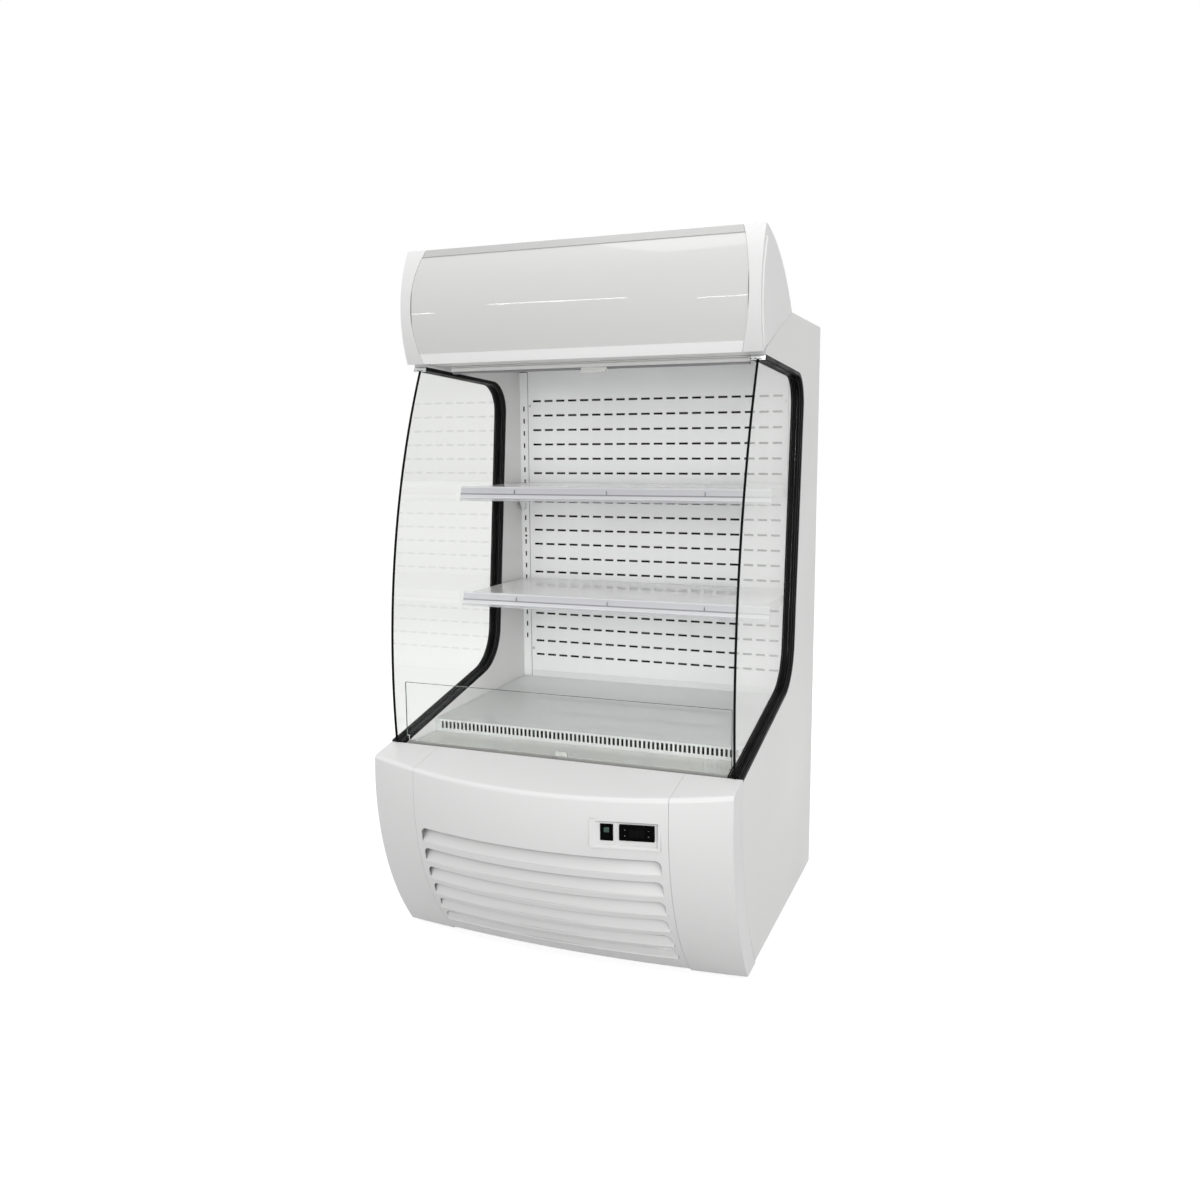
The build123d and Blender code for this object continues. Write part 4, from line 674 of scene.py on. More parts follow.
class FRIDGE_OT_shell(bpy.types.Operator):
    """Finishes the foamed cabinet, its rear and its floor"""

    bl_idname = "fridge.shell"
    bl_label = "Cabinet shell"

    def execute(self, context):
        colour = looks().coat_colour
        finish_nodes(coated_metal("white_coating", colour), "roof_panel", "rear_grille", "canopy_back")
        flat_coat = coated_metal("side_coating", colour, edge=0.0)
        finish_nodes(flat_coat, "side_panel_left", "side_panel_right")
        finish_nodes(duct_shaded_sheet("back_wall_coating", colour, DUCT_SHADE, DUCT_SHADE_FROM_Y), "back_wall")
        # Near-black tank underside: painted shade seen through the return grille's slots.
        finish_nodes(black_rubber("tank_shade_black", grey(0.012), 0.6, 400.0), "insulated_floor")
        galvanised = brushed_metal("galvanised_sheet", (0.42, 0.43, 0.44), 0.42, (40.0, 60.0, 60.0))
        finish_nodes(galvanised, "base_frame", "condenser_fan_shroud", "electrical_box")
        finish_nodes(black_rubber("foot_polymer", grey(0.02), 0.45), "levelling_feet")
        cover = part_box("rear_grille")[1].y
        add_screws("rear_cover_screws", [facing((x, cover, z), BACK) for x, z in COVER_SCREWS])
        return {"FINISHED"}


# ---- louvred base
HOLLOW_DEPTH = 0.045
# Grey of the painted shade in the deep corners of the louvres.
HOLLOW_SHADE = (0.13, 0.13, 0.132)


def paint_hollow_shade(tree, shader, tone):
    """Painted shade in the deep corners between the blades, from ambient occlusion on the panel
    itself.
    """
    hollow = add_node(
        tree, "ShaderNodeAmbientOcclusion", {"Distance": HOLLOW_DEPTH}, samples=12, only_local=True
    )
    open_share = stretch_range(tree, hollow.outputs["AO"], 0.25, 0.86)
    tree.links.new(mix_colours(tree, open_share, HOLLOW_SHADE, tone), shader.inputs["Base Color"])


class FRIDGE_OT_base(bpy.types.Operator):
    """Finishes the louvred panel and its moulded corners"""

    bl_idname = "fridge.base"
    bl_label = "Louvred base"

    def execute(self, context):
        colour = looks().moulding_colour
        finish_nodes(moulded_plastic("white_moulding", colour), "base_cap_left", "base_cap_right")
        blades, tree, shader, tone = textured("louvre_moulding", colour, 0.36, MOULDED, 0.001)
        # Louvre blades get painted shade between them.
        paint_hollow_shade(tree, shader, tone)
        finish_nodes(blades, "louvred_panel")
        return {"FINISHED"}


# ---- canopy
GASKET_WIDTH = 0.0022
GASKET_OUT = 0.0002
GASKET_FORWARD = 0.0004
LAMP_CAP_RADIUS = 0.0134
LAMP_CAP_LENGTH = 0.020


def panel_gaskets():
    """Thin grey gasket on each end of the light panel, cut from the panel's own shape."""
    gaskets = bmesh.new()
    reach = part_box("canopy_diffuser")[1].x
    for side in SIDES:
        part = bmesh.new()
        part.from_mesh(nodes["canopy_diffuser"].data)
        bmesh.ops.remove_doubles(part, verts=part.verts, dist=1e-6)
        bmesh.ops.bisect_plane(
            part,
            geom=part.verts[:] + part.edges[:] + part.faces[:],
            plane_co=(side * (reach - GASKET_WIDTH), 0, 0),
            plane_no=(side, 0, 0),
            clear_inner=True,
        )
        rim = [e for e in part.edges if e.is_boundary]
        bmesh.ops.holes_fill(part, edges=rim, sides=0)
        bmesh.ops.translate(part, vec=(side * GASKET_OUT, -GASKET_FORWARD, 0), verts=part.verts)
        piece = bpy.data.meshes.new("gasket_half")
        part.to_mesh(piece)
        part.free()
        gaskets.from_mesh(piece)
        bpy.data.meshes.remove(piece)
    return gaskets


class FRIDGE_OT_canopy(bpy.types.Operator):
    """Finishes the lit canopy: end caps, light panel, rails and lamp"""

    bl_idname = "fridge.canopy"
    bl_label = "Canopy"

    def execute(self, context):
        finish_nodes(MATERIALS["white_moulding"], "canopy_cap_left", "canopy_cap_right")
        # Underside and bottom rail are lit copies of the white coating, made lighter as painted light;
        # the top rail is a shaded copy, made darker as painted shade.
        underside = coated_metal("underside_coating", (0.95, 0.95, 0.945))
        finish_nodes(underside, "canopy_underside", "lamp_batten")
        finish_nodes(coated_metal("top_rail_coating", looks().rail_colour), "canopy_top_rail")
        finish_nodes(coated_metal("bottom_rail_coating", (0.96, 0.96, 0.958)), "canopy_bottom_rail")
        colour = looks().panel_colour
        opal = textured("opal_panel", colour, 0.4, OPAL, coat_weight=1.0, coat_roughness=0.03)[0]
        finish_nodes(opal, "canopy_diffuser")
        finish_nodes(textured("lamp_glass", (0.86, 0.87, 0.87), 0.22, LAMP_GLASS)[0], "lamp_tube")
        add_piece("light_panel_gaskets", panel_gaskets(), dark_clip(), "cabinet")
        low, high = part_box("lamp_tube")
        middle = (low + high) / 2
        caps = bmesh.new()
        for side in SIDES:
            x = side * (high.x - LAMP_CAP_LENGTH / 2)
            place = facing((x, middle.y, middle.z), (side, 0, 0))
            add_disc(caps, LAMP_CAP_RADIUS, LAMP_CAP_LENGTH, place, bevel=0.001)
        add_piece("lamp_end_caps", caps, metal_screws(), "cabinet")
        return {"FINISHED"}


# ---- glazing
# Distance from the middle, and grey of the rubber there; the lighter greys are painted highlights on
# its lips and groove edges.
CHANNEL_HIGHLIGHT_BANDS = (
    (0.4140, 0.006),
    (0.4172, 0.006),
    (0.4180, 0.11),
    (0.4188, 0.004),
    (0.4222, 0.004),
    (0.4230, 0.07),
    (0.4238, 0.004),
    (0.4402, 0.004),
    (0.4410, 0.06),
    (0.4418, 0.004),
    (0.4452, 0.004),
    (0.4460, 0.13),
    (0.4468, 0.008),
    (0.4500, 0.008),
)
EDGE_BAND = 0.0006
EDGE_PROUD = 0.0001
GUARD_SEATED = 0.024
GUARD_RAISE = 0.011
END_PLATE_Y = -0.1649
END_PLATE_DROP = 0.0061
END_PLATE = (0.0008, 0.0105)


class FRIDGE_OT_glazing(bpy.types.Operator):
    """Finishes the side glass, its rubber and the low front glass"""

    bl_idname = "fridge.glazing"
    bl_label = "Glazing"

    def execute(self, context):
        glass = clear_glass("side_glass_clear", (0.79, 0.80, 0.785), 1.42)
        finish_nodes(glass, "side_glass_left", "side_glass_right")
        finish_nodes(clear_glass("guard_glass_clear", (0.975, 0.985, 0.98), 1.2), "guard_glass")
        rim = textured("polished_glass_edge", (0.10, 0.13, 0.12), 0.12, GLASS_EDGE, coat_weight=0.4)[0]
        low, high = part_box("guard_glass")
        middle = (low + high) / 2
        wide, thick, tall = high - low
        edges = bmesh.new()
        top = at(0, middle.y, high.z - EDGE_PROUD)
        add_block(edges, (wide, thick, EDGE_BAND), top, EDGE_PROUD)
        for side in SIDES:
            place = at(side * (high.x + EDGE_PROUD), middle.y, middle.z + GUARD_RAISE)
            add_block(edges, (EDGE_BAND, thick, tall - GUARD_SEATED), place, EDGE_PROUD)
        add_piece("guard_glass_edges", edges, rim, "cabinet")
        seal = looks().seal_colour
        rubber = rubber_with_highlights("channel_rubber", seal, CHANNEL_HIGHLIGHT_BANDS)
        finish_nodes(rubber, "glass_channel_left", "glass_channel_right")
        finish_nodes(black_rubber("edge_strip_black", seal, 0.44, shine=0.05), "glass_edge_strips")
        plates = bmesh.new()
        for name in ("glass_channel_left", "glass_channel_right"):
            low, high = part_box(name)
            spot = at((low.x + high.x) / 2, END_PLATE_Y, high.z - END_PLATE_DROP)
            add_block(plates, (high.x - low.x - 0.002, *END_PLATE), spot, 0.0002)
        add_piece("channel_end_plates", plates, metal_screws(), "cabinet")
        return {"FINISHED"}


# ---- cold space
# Places and sizes of the duct panel's slots, as the group that paints shade round them takes them.
DUCT_SLOTS = {
    "middle": (0.0, 0.0, 0.9872),
    "pitch_x": 0.0377,
    "pitch_z": 0.0422,
    "half_x": 0.0130,
    "half_z": 0.0029,
    "reach_x": 0.375,
    "reach_z": 0.400,
    "offset_x": 0.01885,
    "offset_z": 0.0,
}
# Dark of the painted shade round the duct panel's slots.
SLOT_RIM_SHADE = (0.012, 0.012, 0.013)
# White of the deck's painted light at the rear.
DECK_REAR_LIGHT = (0.80, 0.81, 0.81)
DUCT_SCREWS = [(x, z) for x in (-0.381, 0.381) for z in (1.353, 0.625)]
DECK_SCREW_X = 0.395
DECK_SCREW_BACK = 0.03
DECK_TOP = 0.5335
PLUG = (0.0034, 0.003)
PLUG_X = 0.4
PLUG_Z = 0.9684
RIVET = (0.0022, 0.0016)
RIVETS_X = (-0.0165, -0.0085)
RIVETS_Z = 0.5055


def paint_rear_light(tree, shader, tone, fresh):
    """Deck coating made lighter towards the rear, as painted light against the shade that the lower
    shelf casts there.
    """
    low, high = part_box("deck_tray")
    middle = (low.y + high.y) / 2
    rear = stretch_range(tree, axis_on_piece(tree, "Y"), middle, high.y, curve="SMOOTHSTEP")
    tree.links.new(mix_colours(tree, rear, tone, fresh), shader.inputs["Base Color"])


def paint_slot_rim_shade(material):
    """Painted shade round the air slots of the duct panel: a dark band on the coating round each slot.
    """
    tree = material.node_tree
    colour = tree.nodes["Principled BSDF"].inputs["Base Color"]
    # Mask of the painted shade round the slots.
    rims = place_group(tree, "rims", **DUCT_SLOTS)["Slot Shade"]
    tree.links.new(mix_colours(tree, rims, colour.links[0].from_socket, SLOT_RIM_SHADE), colour)


class FRIDGE_OT_interior(bpy.types.Operator):
    """Finishes the duct panel, uprights, deck, grilles and sill"""

    bl_idname = "fridge.interior"
    bl_label = "Cold space"

    def execute(self, context):
        liner, deck_colour = looks().liner_colour, looks().deck_colour
        coat = coated_metal("liner_coating", liner, 0.18)
        finish_nodes(coat, "ceiling_liner", "shelf_brackets_upper", "shelf_brackets_lower")
        punched = {"back_duct_panel": liner, "shelf_uprights": liner, "return_grille": deck_colour}
        for name, colour in punched.items():
            finish_nodes(punched_sheet(f"{name}_coating", colour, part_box(name)[0].y), name)
        paint_slot_rim_shade(MATERIALS["back_duct_panel_coating"])
        deck, tree, shader, tone = textured(
            "deck_coating", deck_colour, 0.36, DECK, coat_weight=0.6, coat_roughness=0.06
        )
        paint_rear_light(tree, shader, tone, DECK_REAR_LIGHT)
        finish_nodes(deck, "deck_tray")
        steel = brushed_metal("sill_sheet", (0.60, 0.60, 0.575), 0.26, (5.0, 500.0, 500.0), 0.25)
        finish_nodes(steel, "sill_plate")
        finish_nodes(black_rubber("outlet_black", (0.02, 0.02, 0.021)), "air_outlet")
        fins = finned_metal("coil_fins", (0.58, 0.59, 0.60), (1250.0, 0.0, 0.0))
        finish_nodes(fins, "evaporator", "condenser")
        # Near-black fan plate: painted shade seen through the duct panel's slots.
        sheet = brushed_metal("fan_plate_shade", (0.03, 0.03, 0.031), 0.5, (60.0, 60.0, 60.0), 0.2)
        finish_nodes(sheet, "evaporator_fan_plate")
        self.add_fixings()
        return {"FINISHED"}

    def add_fixings(self):
        """Screws of the duct panel and deck, plugs of the uprights and rivets of the sill's lip."""
        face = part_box("back_duct_panel")[0].y
        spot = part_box("deck_tray")[0].y + DECK_SCREW_BACK
        places = [facing((x, face, z), FRONT) for x, z in DUCT_SCREWS]
        places += [facing((side * DECK_SCREW_X, spot, DECK_TOP), UP, BACK) for side in SIDES]
        add_screws("liner_screws", places)
        plugs = bmesh.new()
        for side in SIDES:
            add_disc(plugs, *PLUG, facing((side * PLUG_X, face, PLUG_Z), FRONT), 24, 0.0008)
        add_piece("upright_plugs", plugs, MATERIALS["foot_polymer"], "cabinet")
        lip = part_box("sill_plate")[0].y
        rivets = bmesh.new()
        for x in RIVETS_X:
            add_disc(rivets, *RIVET, facing((x, lip, RIVETS_Z), FRONT), 24, 0.0004)
        add_piece("sill_lip_rivets", rivets, dark_clip(), "cabinet")


# ---- shelves
# Share of the ticket strip's height, and its colour or cover there.
TICKET_BANDS = (
    (0.0, (0.66, 0.66, 0.68)),
    (0.20, (0.60, 0.60, 0.63)),
    (0.24, (0.86, 0.86, 0.88)),
    (0.30, (0.72, 0.72, 0.74)),
    (0.43, (0.76, 0.76, 0.78)),
    (0.45, (0.30, 0.30, 0.32)),
    (0.52, (0.30, 0.30, 0.32)),
    (0.54, (0.64, 0.64, 0.67)),
    (0.88, (0.62, 0.62, 0.65)),
    (0.92, (0.84, 0.84, 0.86)),
    (1.0, (0.70, 0.70, 0.72)),
)
TICKET_COVER = ((0.0, 0.45), (0.20, 0.50), (0.24, 0.94), (0.9, 0.94), (1.0, 0.8))
RAIL_REACH = 0.4235
CLIPS_X = (-0.262, 0.0, 0.262)
CLIP_SIZE = (0.0022, 0.003, 0.010)
ARM_THICK = 0.002
ARM_HOOK = (ARM_THICK, 0.006, 0.008)
ARM_TAIL = 0.080
SLOT_TOP = 1.345
SLOT_PITCH = 0.03584
ARM_SLOTS = {"upper": (7, 8), "lower": (15, 16)}


def ticket_plastic(level):
    """Clear extruded ticket strip: a milky holder with drawn lines, and a clear skirt below it."""
    low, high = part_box(f"price_rail_{level}")
    material, tree, shader = base_material(
        f"ticket_rail_{level}", (0.6, 0.6, 0.62), 0.16, coat_weight=0.6, coat_roughness=0.06
    )
    rise = stretch_range(tree, axis_on_piece(tree, "Z"), low.z, high.z)
    cover = colour_steps(tree, rise, [(spot, grey(share)) for spot, share in TICKET_COVER])
    feed(tree, shader, {"Base Color": colour_steps(tree, rise, TICKET_BANDS), "Alpha": cover})
    lines = place_group(tree, "lines", stretch=(2.0, 250.0, 900.0))["Lines"]
    add_relief(tree, shader, lines, 0.2, 0.0003)
    return material


def slim_arms(level):
    """Pair of sheet arms: deep where they hook into the uprights, slim under the shelf."""
    low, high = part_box(f"shelf_brackets_{level}")
    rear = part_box("back_duct_panel")[0].y - 0.0004
    profile = (
        (rear, high.z),
        (rear, high.z - ARM_TAIL),
        (rear - 0.020, high.z - ARM_TAIL),
        (rear - 0.050, high.z - 0.032),
        (low.y, high.z - 0.013),
        (low.y, high.z),
    )
    arms = bmesh.new()
    for side in SIDES:
        outer = side * high.x
        plate = arms.faces.new([arms.verts.new((outer, y, z)) for y, z in profile])
        inner = extrude_face(arms, plate)
        bmesh.ops.translate(arms, vec=(-side * ARM_THICK, 0, 0), verts=inner.verts)
        for slot in ARM_SLOTS[level]:
            place = at(outer - side * ARM_THICK / 2, rear + 0.0025, SLOT_TOP - slot * SLOT_PITCH)
            add_block(arms, ARM_HOOK, place)
    bmesh.ops.recalc_face_normals(arms, faces=arms.faces)
    return arms


class FRIDGE_OT_shelves(bpy.types.Operator):
    """Finishes the shelves and their clear ticket rails"""

    bl_idname = "fridge.shelves"
    bl_label = "Shelves"

    def execute(self, context):
        coat = coated_metal("shelf_coating", grey(0.80), 0.14)
        white = MATERIALS["liner_coating"]
        for level in ("upper", "lower"):
            plastic = ticket_plastic(level)
            finish_nodes(coat, f"shelf_{level}")
            arms = add_piece(f"shelf_arms_{level}", slim_arms(level), white, "cabinet")
            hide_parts(f"shelf_brackets_{level}")
            finish_nodes(plastic, f"price_rail_{level}")
            low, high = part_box(f"price_rail_{level}")
            strip = bmesh.new()
            strip.from_mesh(nodes[f"price_rail_{level}"].data)
            bmesh.ops.remove_doubles(strip, verts=strip.verts, dist=1e-6)
            bmesh.ops.scale(strip, vec=(RAIL_REACH / high.x, 1, 1), verts=strip.verts)
            long_rail = add_piece(f"ticket_strip_{level}", strip, plastic, f"{level}_shelf")
            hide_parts(f"price_rail_{level}")
            clips = bmesh.new()
            for x in CLIPS_X:
                place = at(x, low.y + 0.0045, (low.z + high.z) / 2 + 0.006)
                add_block(clips, CLIP_SIZE, place, 0.0005)
            add_piece(f"rail_clips_{level}", clips, dark_clip(), f"{level}_shelf")
        return {"FINISHED"}


# ---- night blind
GRIP_HALF = 0.0345
SEAL_DROP = 0.0126
SEAL_SECTION = (0.012, 0.0052)
LIP_SECTION = (0.0070, 0.0036)
CLOTH_THICK = 0.0004
CLOTH_COLUMNS = 48
CLOTH_ROWS = 6
CLOTH_RIPPLE = 0.00012


class FRIDGE_OT_blind(bpy.types.Operator):
    """Makes the exposed stretch of night blind and finishes its bar and roller"""

    bl_idname = "fridge.blind"
    bl_label = "Night blind"

    def execute(self, context):
        cloth = woven_blind("blind_weave", (0.70, 0.70, 0.69))
        finish_nodes(cloth, "blind_roller")
        bar = moulded_plastic("bar_white", (0.80, 0.80, 0.79), edge=0.0006)
        finish_nodes(bar, "blind_bar")
        self.add_trim(bar)
        self.add_cloth(cloth)
        return {"FINISHED"}

    def add_trim(self, bar):
        """Seal under each half of the bar, and the lip above it."""
        low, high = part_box("blind_bar")
        run = high.x - GRIP_HALF
        seal = bmesh.new()
        for side in SIDES:
            place = at(side * (GRIP_HALF + run / 2), (low.y + high.y) / 2, high.z - SEAL_DROP)
            add_block(seal, (run - 0.002, *SEAL_SECTION), place, 0.001)
        add_piece("bar_seal", seal, dark_clip(), "blind")
        lip = bmesh.new()
        place = at(0, low.y + 0.0034, high.z + 0.0022)
        add_block(lip, (2 * high.x, *LIP_SECTION), place, 0.0008)
        add_piece("blind_slot_lip", lip, bar, "cabinet")

    def add_cloth(self, cloth):
        """Thin sheet between roller and bar, which follows the bar down."""
        low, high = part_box("blind_cloth")
        width = high.x - low.x
        drop = high.z - low.z
        lean = (high.y - low.y - 2 * CLOTH_THICK) / drop
        sheet = bmesh.new()
        bmesh.ops.create_grid(sheet, x_segments=CLOTH_COLUMNS, y_segments=CLOTH_ROWS, size=0.5)
        for vert in sheet.verts:
            across, down = vert.co.x, vert.co.y + 0.5
            z = high.z - down * drop
            y = high.y - CLOTH_THICK - (high.z - z) * lean
            y += CLOTH_RIPPLE * math.sin(across * 40) * math.sin(down * math.pi)
            vert.co = Vector((across * width, y, z))
        bmesh.ops.recalc_face_normals(sheet, faces=sheet.faces)
        bmesh.ops.solidify(sheet, geom=list(sheet.faces), thickness=CLOTH_THICK)
        piece = link_piece("blind_cloth_sheet", sheet, cloth)
        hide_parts("blind_cloth")
        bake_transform(piece)


# ---- controls
POCKET_YAW = math.radians(11.0)
ALONG = Vector((math.cos(POCKET_YAW), math.sin(POCKET_YAW), 0))
OUTWARD = Vector((math.sin(POCKET_YAW), -math.cos(POCKET_YAW), 0))
SWITCH_FACE = Vector((0.18333, -0.469886, 0.4030))
CONTROLLER_FACE = Vector((0.249557, -0.459458, 0.4047))
KEY_X = 0.026
KEY_Z = 0.0065
KEY_MARKS = (
    (-KEY_X, KEY_Z, "up"),
    (-KEY_X, -KEY_Z, "down"),
    (KEY_X, KEY_Z, "bar"),
    (KEY_X, -KEY_Z, "dot"),
)
PRINT_THICK = 0.0001
PRINT_BAR = (0.0034, 0.0012, PRINT_THICK)
PRINT_DOT_RADIUS = 0.0014
PRINT_ARROW_RADIUS = 0.0021
LENS_SIZE = (0.0118, 0.0112, 0.0014)
LENS_RISE = 0.0058
LENS_OUT = 0.0012
DISPLAY_SIZE = (0.0396, 0.0246, 0.0005)
DISPLAY_OUT = -0.00045
PRINT_OUT = 0.00065
DIGITS_X = (-0.0115, 0.0, 0.0115)
DIGIT_DROP = 0.001
DIGIT_OUT = -0.00016
DIGIT_THICK = 0.00008


def on_pocket(middle, across, rise, out):
    """Placement on a face of the control pocket, with local Z pointing outward."""
    return facing(middle + ALONG * across + OUTWARD * out + Vector((0, 0, rise)), OUTWARD)


def seven_segments():
    """Three unlit digits, each of seven thin bars, behind the window's face."""
    half_wide, half_tall, stroke = 0.0036, 0.0068, 0.0011
    level_bar = (2 * half_wide - stroke, stroke, DIGIT_THICK)
    upright_bar = (stroke, half_tall - stroke, DIGIT_THICK)
    bars = [(0.0, rise, level_bar) for rise in (-half_tall, 0.0, half_tall)]
    bars += [(side * half_wide, half * half_tall / 2, upright_bar) for side in SIDES for half in SIDES]
    digits = bmesh.new()
    for centre in DIGITS_X:
        for across, rise, size in bars:
            place = on_pocket(CONTROLLER_FACE, centre + across, rise - DIGIT_DROP, DIGIT_OUT)
            add_block(digits, size, place)
    return digits


def key_mark(across, rise, shape):
    """Printed mark of one key: a triangle, a bar or a dot."""
    mark = bmesh.new()
    place = on_pocket(CONTROLLER_FACE, across, rise, PRINT_OUT)
    if shape == "bar":
        add_block(mark, PRINT_BAR, place)
    elif shape == "dot":
        add_disc(mark, PRINT_DOT_RADIUS, PRINT_THICK, place, 20)
    else:
        turn = Matrix.Rotation(math.radians(90 if shape == "up" else -90), 4, "Z")
        add_disc(mark, PRINT_ARROW_RADIUS, PRINT_THICK, place @ turn, 3)
    return mark


class FRIDGE_OT_controls(bpy.types.Operator):
    """Finishes the switch and the controller, with its lens, dark window and key marks"""

    bl_idname = "fridge.controls"
    bl_label = "Controls"

    def execute(self, context):
        black = black_rubber("control_black", (0.0015, 0.0015, 0.0016), 0.44, 3000.0, 0.02)
        finish_nodes(black, "switch_body", "controller", "switch_rocker")
        finish_nodes(black, *[f"controller_key_{index}" for index in (1, 2, 3, 4)])
        colour = looks().lens_colour
        lens = textured("rocker_lens", colour, 0.2, LENS, coat_weight=0.15, coat_roughness=0.08)[0]
        window = bmesh.new()
        add_block(window, LENS_SIZE, on_pocket(SWITCH_FACE, 0, LENS_RISE, LENS_OUT), 0.0005)
        add_piece("switch_lens", window, lens, "rocker")
        glass = bmesh.new()
        add_block(glass, DISPLAY_SIZE, on_pocket(CONTROLLER_FACE, 0, 0, DISPLAY_OUT), 0.0001)
        display = gloss_black("display_black", (0.0012, 0.0012, 0.0014), 0.06)
        add_piece("display_window", glass, display, "cabinet")
        unlit = gloss_black("unlit_segment", (0.014, 0.012, 0.012), 0.25)
        add_piece("display_digits", seven_segments(), unlit, "cabinet")
        pale = textured("key_print", (0.12, 0.125, 0.125), 0.5, PRINT)[0]
        for index, (across, rise, shape) in enumerate(KEY_MARKS, start=1):
            add_piece(f"key_mark_{index}", key_mark(across, rise, shape), pale, f"key_{index}")
        return {"FINISHED"}


# ---- machinery
INLET_PINS = ((-0.307, 0.188), (-0.293, 0.188), (-0.300, 0.194))
PIN_SIZE = (0.002, 0.010, 0.004)
PIN_DEPTH = 0.0075


class FRIDGE_OT_machinery(bpy.types.Operator):
    """Finishes compressor, fans and tray, and adds the inlet's pins"""

    bl_idname = "fridge.machinery"
    bl_label = "Machinery"

    def execute(self, context):
        enamel = black_rubber("compressor_enamel", (0.015, 0.015, 0.016), 0.44, 500.0)
        finish_nodes(enamel, "compressor")
        blades = moulded_plastic("fan_plastic", (0.05, 0.05, 0.052), 0.42, 0.0006)
        finish_nodes(blades, "condenser_fan", "evaporator_fan_left", "evaporator_fan_right")
        finish_nodes(moulded_plastic("tray_grey", (0.16, 0.16, 0.165), 0.5, 0.0008), "drip_tray")
        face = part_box("electrical_box")[1].y
        pins = bmesh.new()
        for x, z in INLET_PINS:
            add_block(pins, PIN_SIZE, at(x, face - PIN_DEPTH, z), 0.0004)
        add_piece("inlet_pins", pins, metal_screws(), "cabinet")
        return {"FINISHED"}


# ---- stage
FLOOR_HALF = 30.0
FLOOR_GLOW = 0.85
SENSOR_WIDTH = 36.0
# Name, place, width and share of the key light.
SOFT_LAMPS = (
    ("soft_front", (1.5, -4.2, 1.6), 2.4, 1.0),
    ("soft_right", (4.0, -0.6, 2.7), 2.6, 0.32),
    ("soft_left", (-4.0, -0.9, 2.2), 2.6, 0.26),
    ("soft_top", (0.1, -0.4, 4.4), 3.0, 0.58),
    ("soft_rear", (-0.8, 4.0, 2.4), 2.6, 0.4),
)
SOFT_AIM = (0.0, -0.1, 0.9)
# Place and length of the thin lamps that the light panel mirrors.
STRIP_LAMPS = (
    ((-2.26, -4.63, 2.52), 0.46),
    ((-1.81, -4.75, 2.49), 0.50),
    ((-0.93, -5.0, 2.17), 0.36),
    ((-2.95, -4.4, 2.1), 0.3),
)
STRIP_AIM = (0, -0.2, 1.5)
STRIP_WIDTH = 0.045
STRIP_RADIANCE = 14.0


def hang_lamp(name, place, aim, width, height, power):
    """Flat soft lamp that faces a point and stays out of the picture."""
    light = bpy.data.lights.new(name, "AREA")
    light.shape = "RECTANGLE"
    light.size = width
    light.size_y = height
    light.energy = power
    lamp = bpy.data.objects.new(name, light)
    lamp.visible_camera = False
    lamp.location = place
    lamp.rotation_mode = "QUATERNION"
    lamp.rotation_quaternion = (Vector(aim) - Vector(place)).to_track_quat("-Z", "Y")
    bpy.context.scene.collection.objects.link(lamp)


def light_room(scene, sky):
    """White room for the camera and for mirrors, and an even light of its own strength."""
    world = bpy.data.worlds.new("studio_world")
    scene.world = world
    world.use_nodes = True
    tree = world.node_tree
    level = stretch_range(tree, seen_rays(tree), to_low=sky)
    feed(tree, tree.nodes["Background"], {"Color": (1.0, 1.0, 1.0, 1.0), "Strength": level})


def lay_floor():
    """White paper floor that keeps the fridge's shadow."""
    paper, tree, shader = base_material("floor_paper", (0.36, 0.36, 0.36), 0.9)
    glow = calculate(tree, "MULTIPLY", seen_rays(tree), FLOOR_GLOW)
    feed(tree, shader, {"Emission Color": (1.0, 1.0, 1.0, 1.0), "Emission Strength": glow})
    shape = bmesh.new()
    bmesh.ops.create_grid(shape, x_segments=1, y_segments=1, size=FLOOR_HALF)
    link_piece("studio_floor", shape, paper)


def place_camera(scene, studio):
    lens = bpy.data.cameras.new("photo_camera")
    lens.lens = studio.lens
    lens.sensor_width = SENSOR_WIDTH
    lens.sensor_fit = "HORIZONTAL"
    camera = bpy.data.objects.new("photo_camera", lens)
    sin_yaw, cos_yaw = math.sin(studio.yaw), math.cos(studio.yaw)
    sin_pitch, cos_pitch = math.sin(studio.pitch), math.cos(studio.pitch)
    sin_roll, cos_roll = math.sin(studio.roll), math.cos(studio.roll)
    forward = Vector((-sin_yaw * cos_pitch, cos_yaw * cos_pitch, -sin_pitch))
    right = Vector((cos_yaw, sin_yaw, 0.0))
    rise = right.cross(forward)
    rolled_right = right * cos_roll + rise * sin_roll
    rolled_rise = rise * cos_roll - right * sin_roll
    turn = Matrix((rolled_right, rolled_rise, -forward)).transposed().to_4x4()
    camera.matrix_world = Matrix.Translation(Vector(studio.camera_place)) @ turn
    scene.collection.objects.link(camera)
    scene.camera = camera


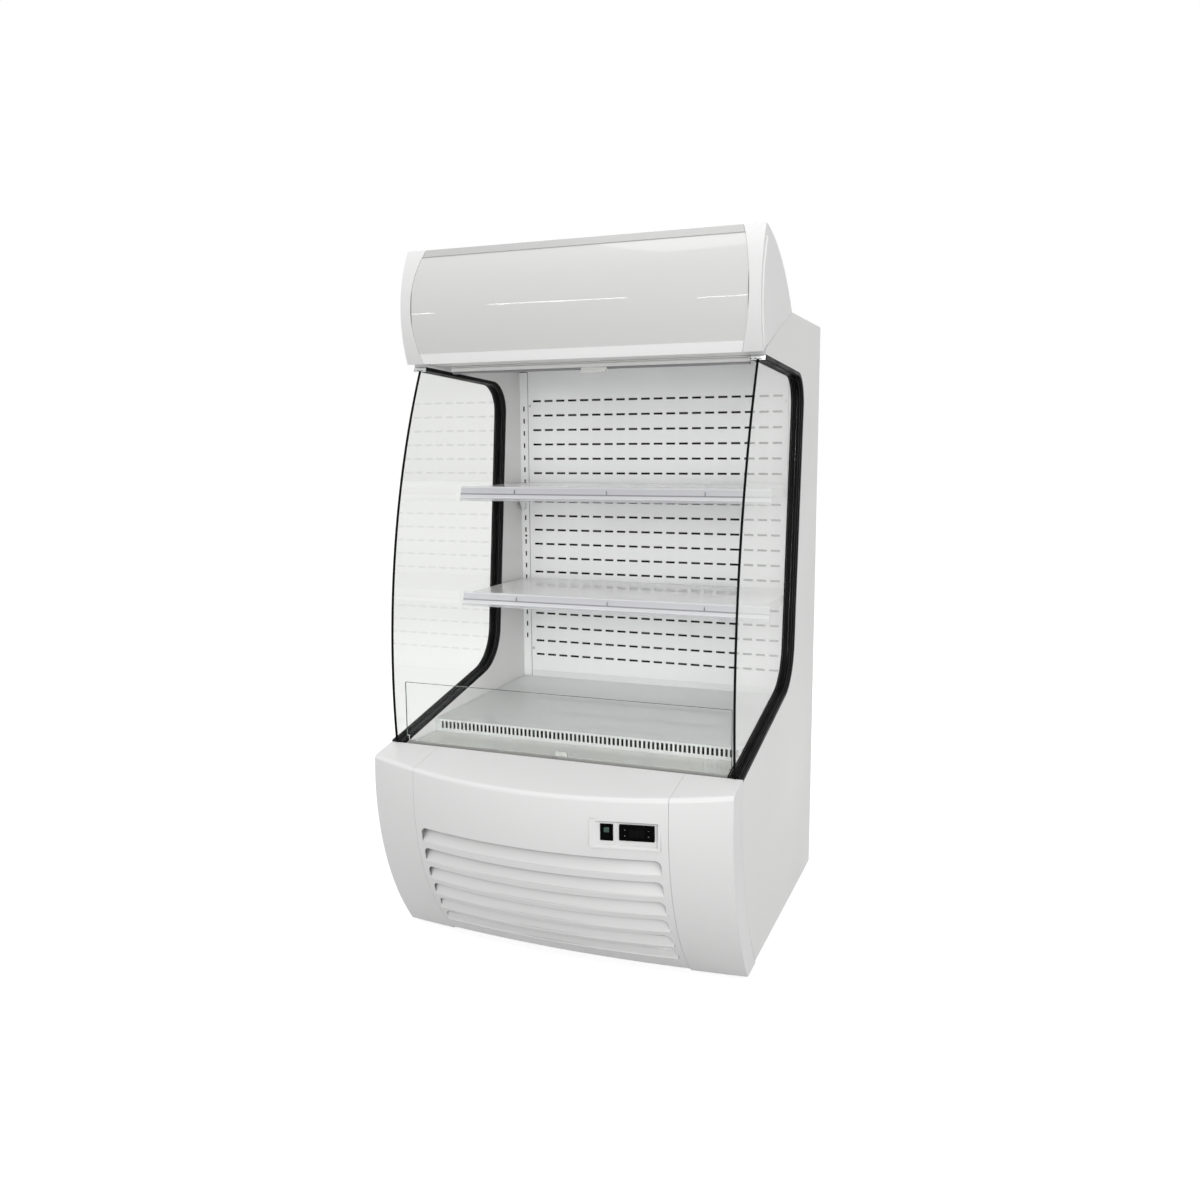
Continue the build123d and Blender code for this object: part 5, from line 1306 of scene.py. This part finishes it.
class FRIDGE_OT_stage(bpy.types.Operator):
    """Makes the floor, the soft studio light and the camera"""

    bl_idname = "fridge.stage"
    bl_label = "Studio"

    def execute(self, context):
        scene = context.scene
        studio = scene.fridge_studio
        scene.view_settings.view_transform = "Standard"
        light_room(scene, studio.sky)
        lay_floor()
        for name, place, size, share in SOFT_LAMPS:
            hang_lamp(name, place, SOFT_AIM, size, size, studio.key * share)
        for index, (place, length) in enumerate(STRIP_LAMPS, start=1):
            power = STRIP_RADIANCE * math.pi * length * STRIP_WIDTH
            hang_lamp(f"thin_strip_{index}", place, STRIP_AIM, length, STRIP_WIDTH, power)
        place_camera(scene, studio)
        return {"FINISHED"}


# ---- add-on
STEPS = (
    FRIDGE_OT_stage,
    FRIDGE_OT_shell,
    FRIDGE_OT_base,
    FRIDGE_OT_canopy,
    FRIDGE_OT_glazing,
    FRIDGE_OT_interior,
    FRIDGE_OT_shelves,
    FRIDGE_OT_blind,
    FRIDGE_OT_controls,
    FRIDGE_OT_machinery,
)


class FRIDGE_PT_panel(bpy.types.Panel):
    """Lists the steps that dress the fridge"""

    bl_idname = "FRIDGE_PT_panel"
    bl_label = "Multideck fridge"
    bl_space_type = "VIEW_3D"
    bl_region_type = "UI"
    bl_category = "Fridge"

    def draw(self, context):
        column = self.layout.column()
        for step in STEPS:
            column.operator(step.bl_idname)
        for settings in (context.scene.fridge_looks, context.scene.fridge_studio):
            for label in settings.__annotations__:
                column.prop(settings, label)


CLASSES = (FridgeLooks, FridgeStudio, *STEPS, FRIDGE_PT_panel)


def register():
    for item in CLASSES:
        bpy.utils.register_class(item)
    bpy.types.Scene.fridge_looks = bpy.props.PointerProperty(type=FridgeLooks)
    bpy.types.Scene.fridge_studio = bpy.props.PointerProperty(type=FridgeStudio)


def unregister():
    del bpy.types.Scene.fridge_studio
    del bpy.types.Scene.fridge_looks
    for item in reversed(CLASSES):
        bpy.utils.unregister_class(item)


def main():
    """Registers the add-on and runs every step in order."""
    register()
    for step in STEPS:
        area, name = step.bl_idname.split(".")
        getattr(getattr(bpy.ops, area), name)()


if __name__ == "__main__":
    main()
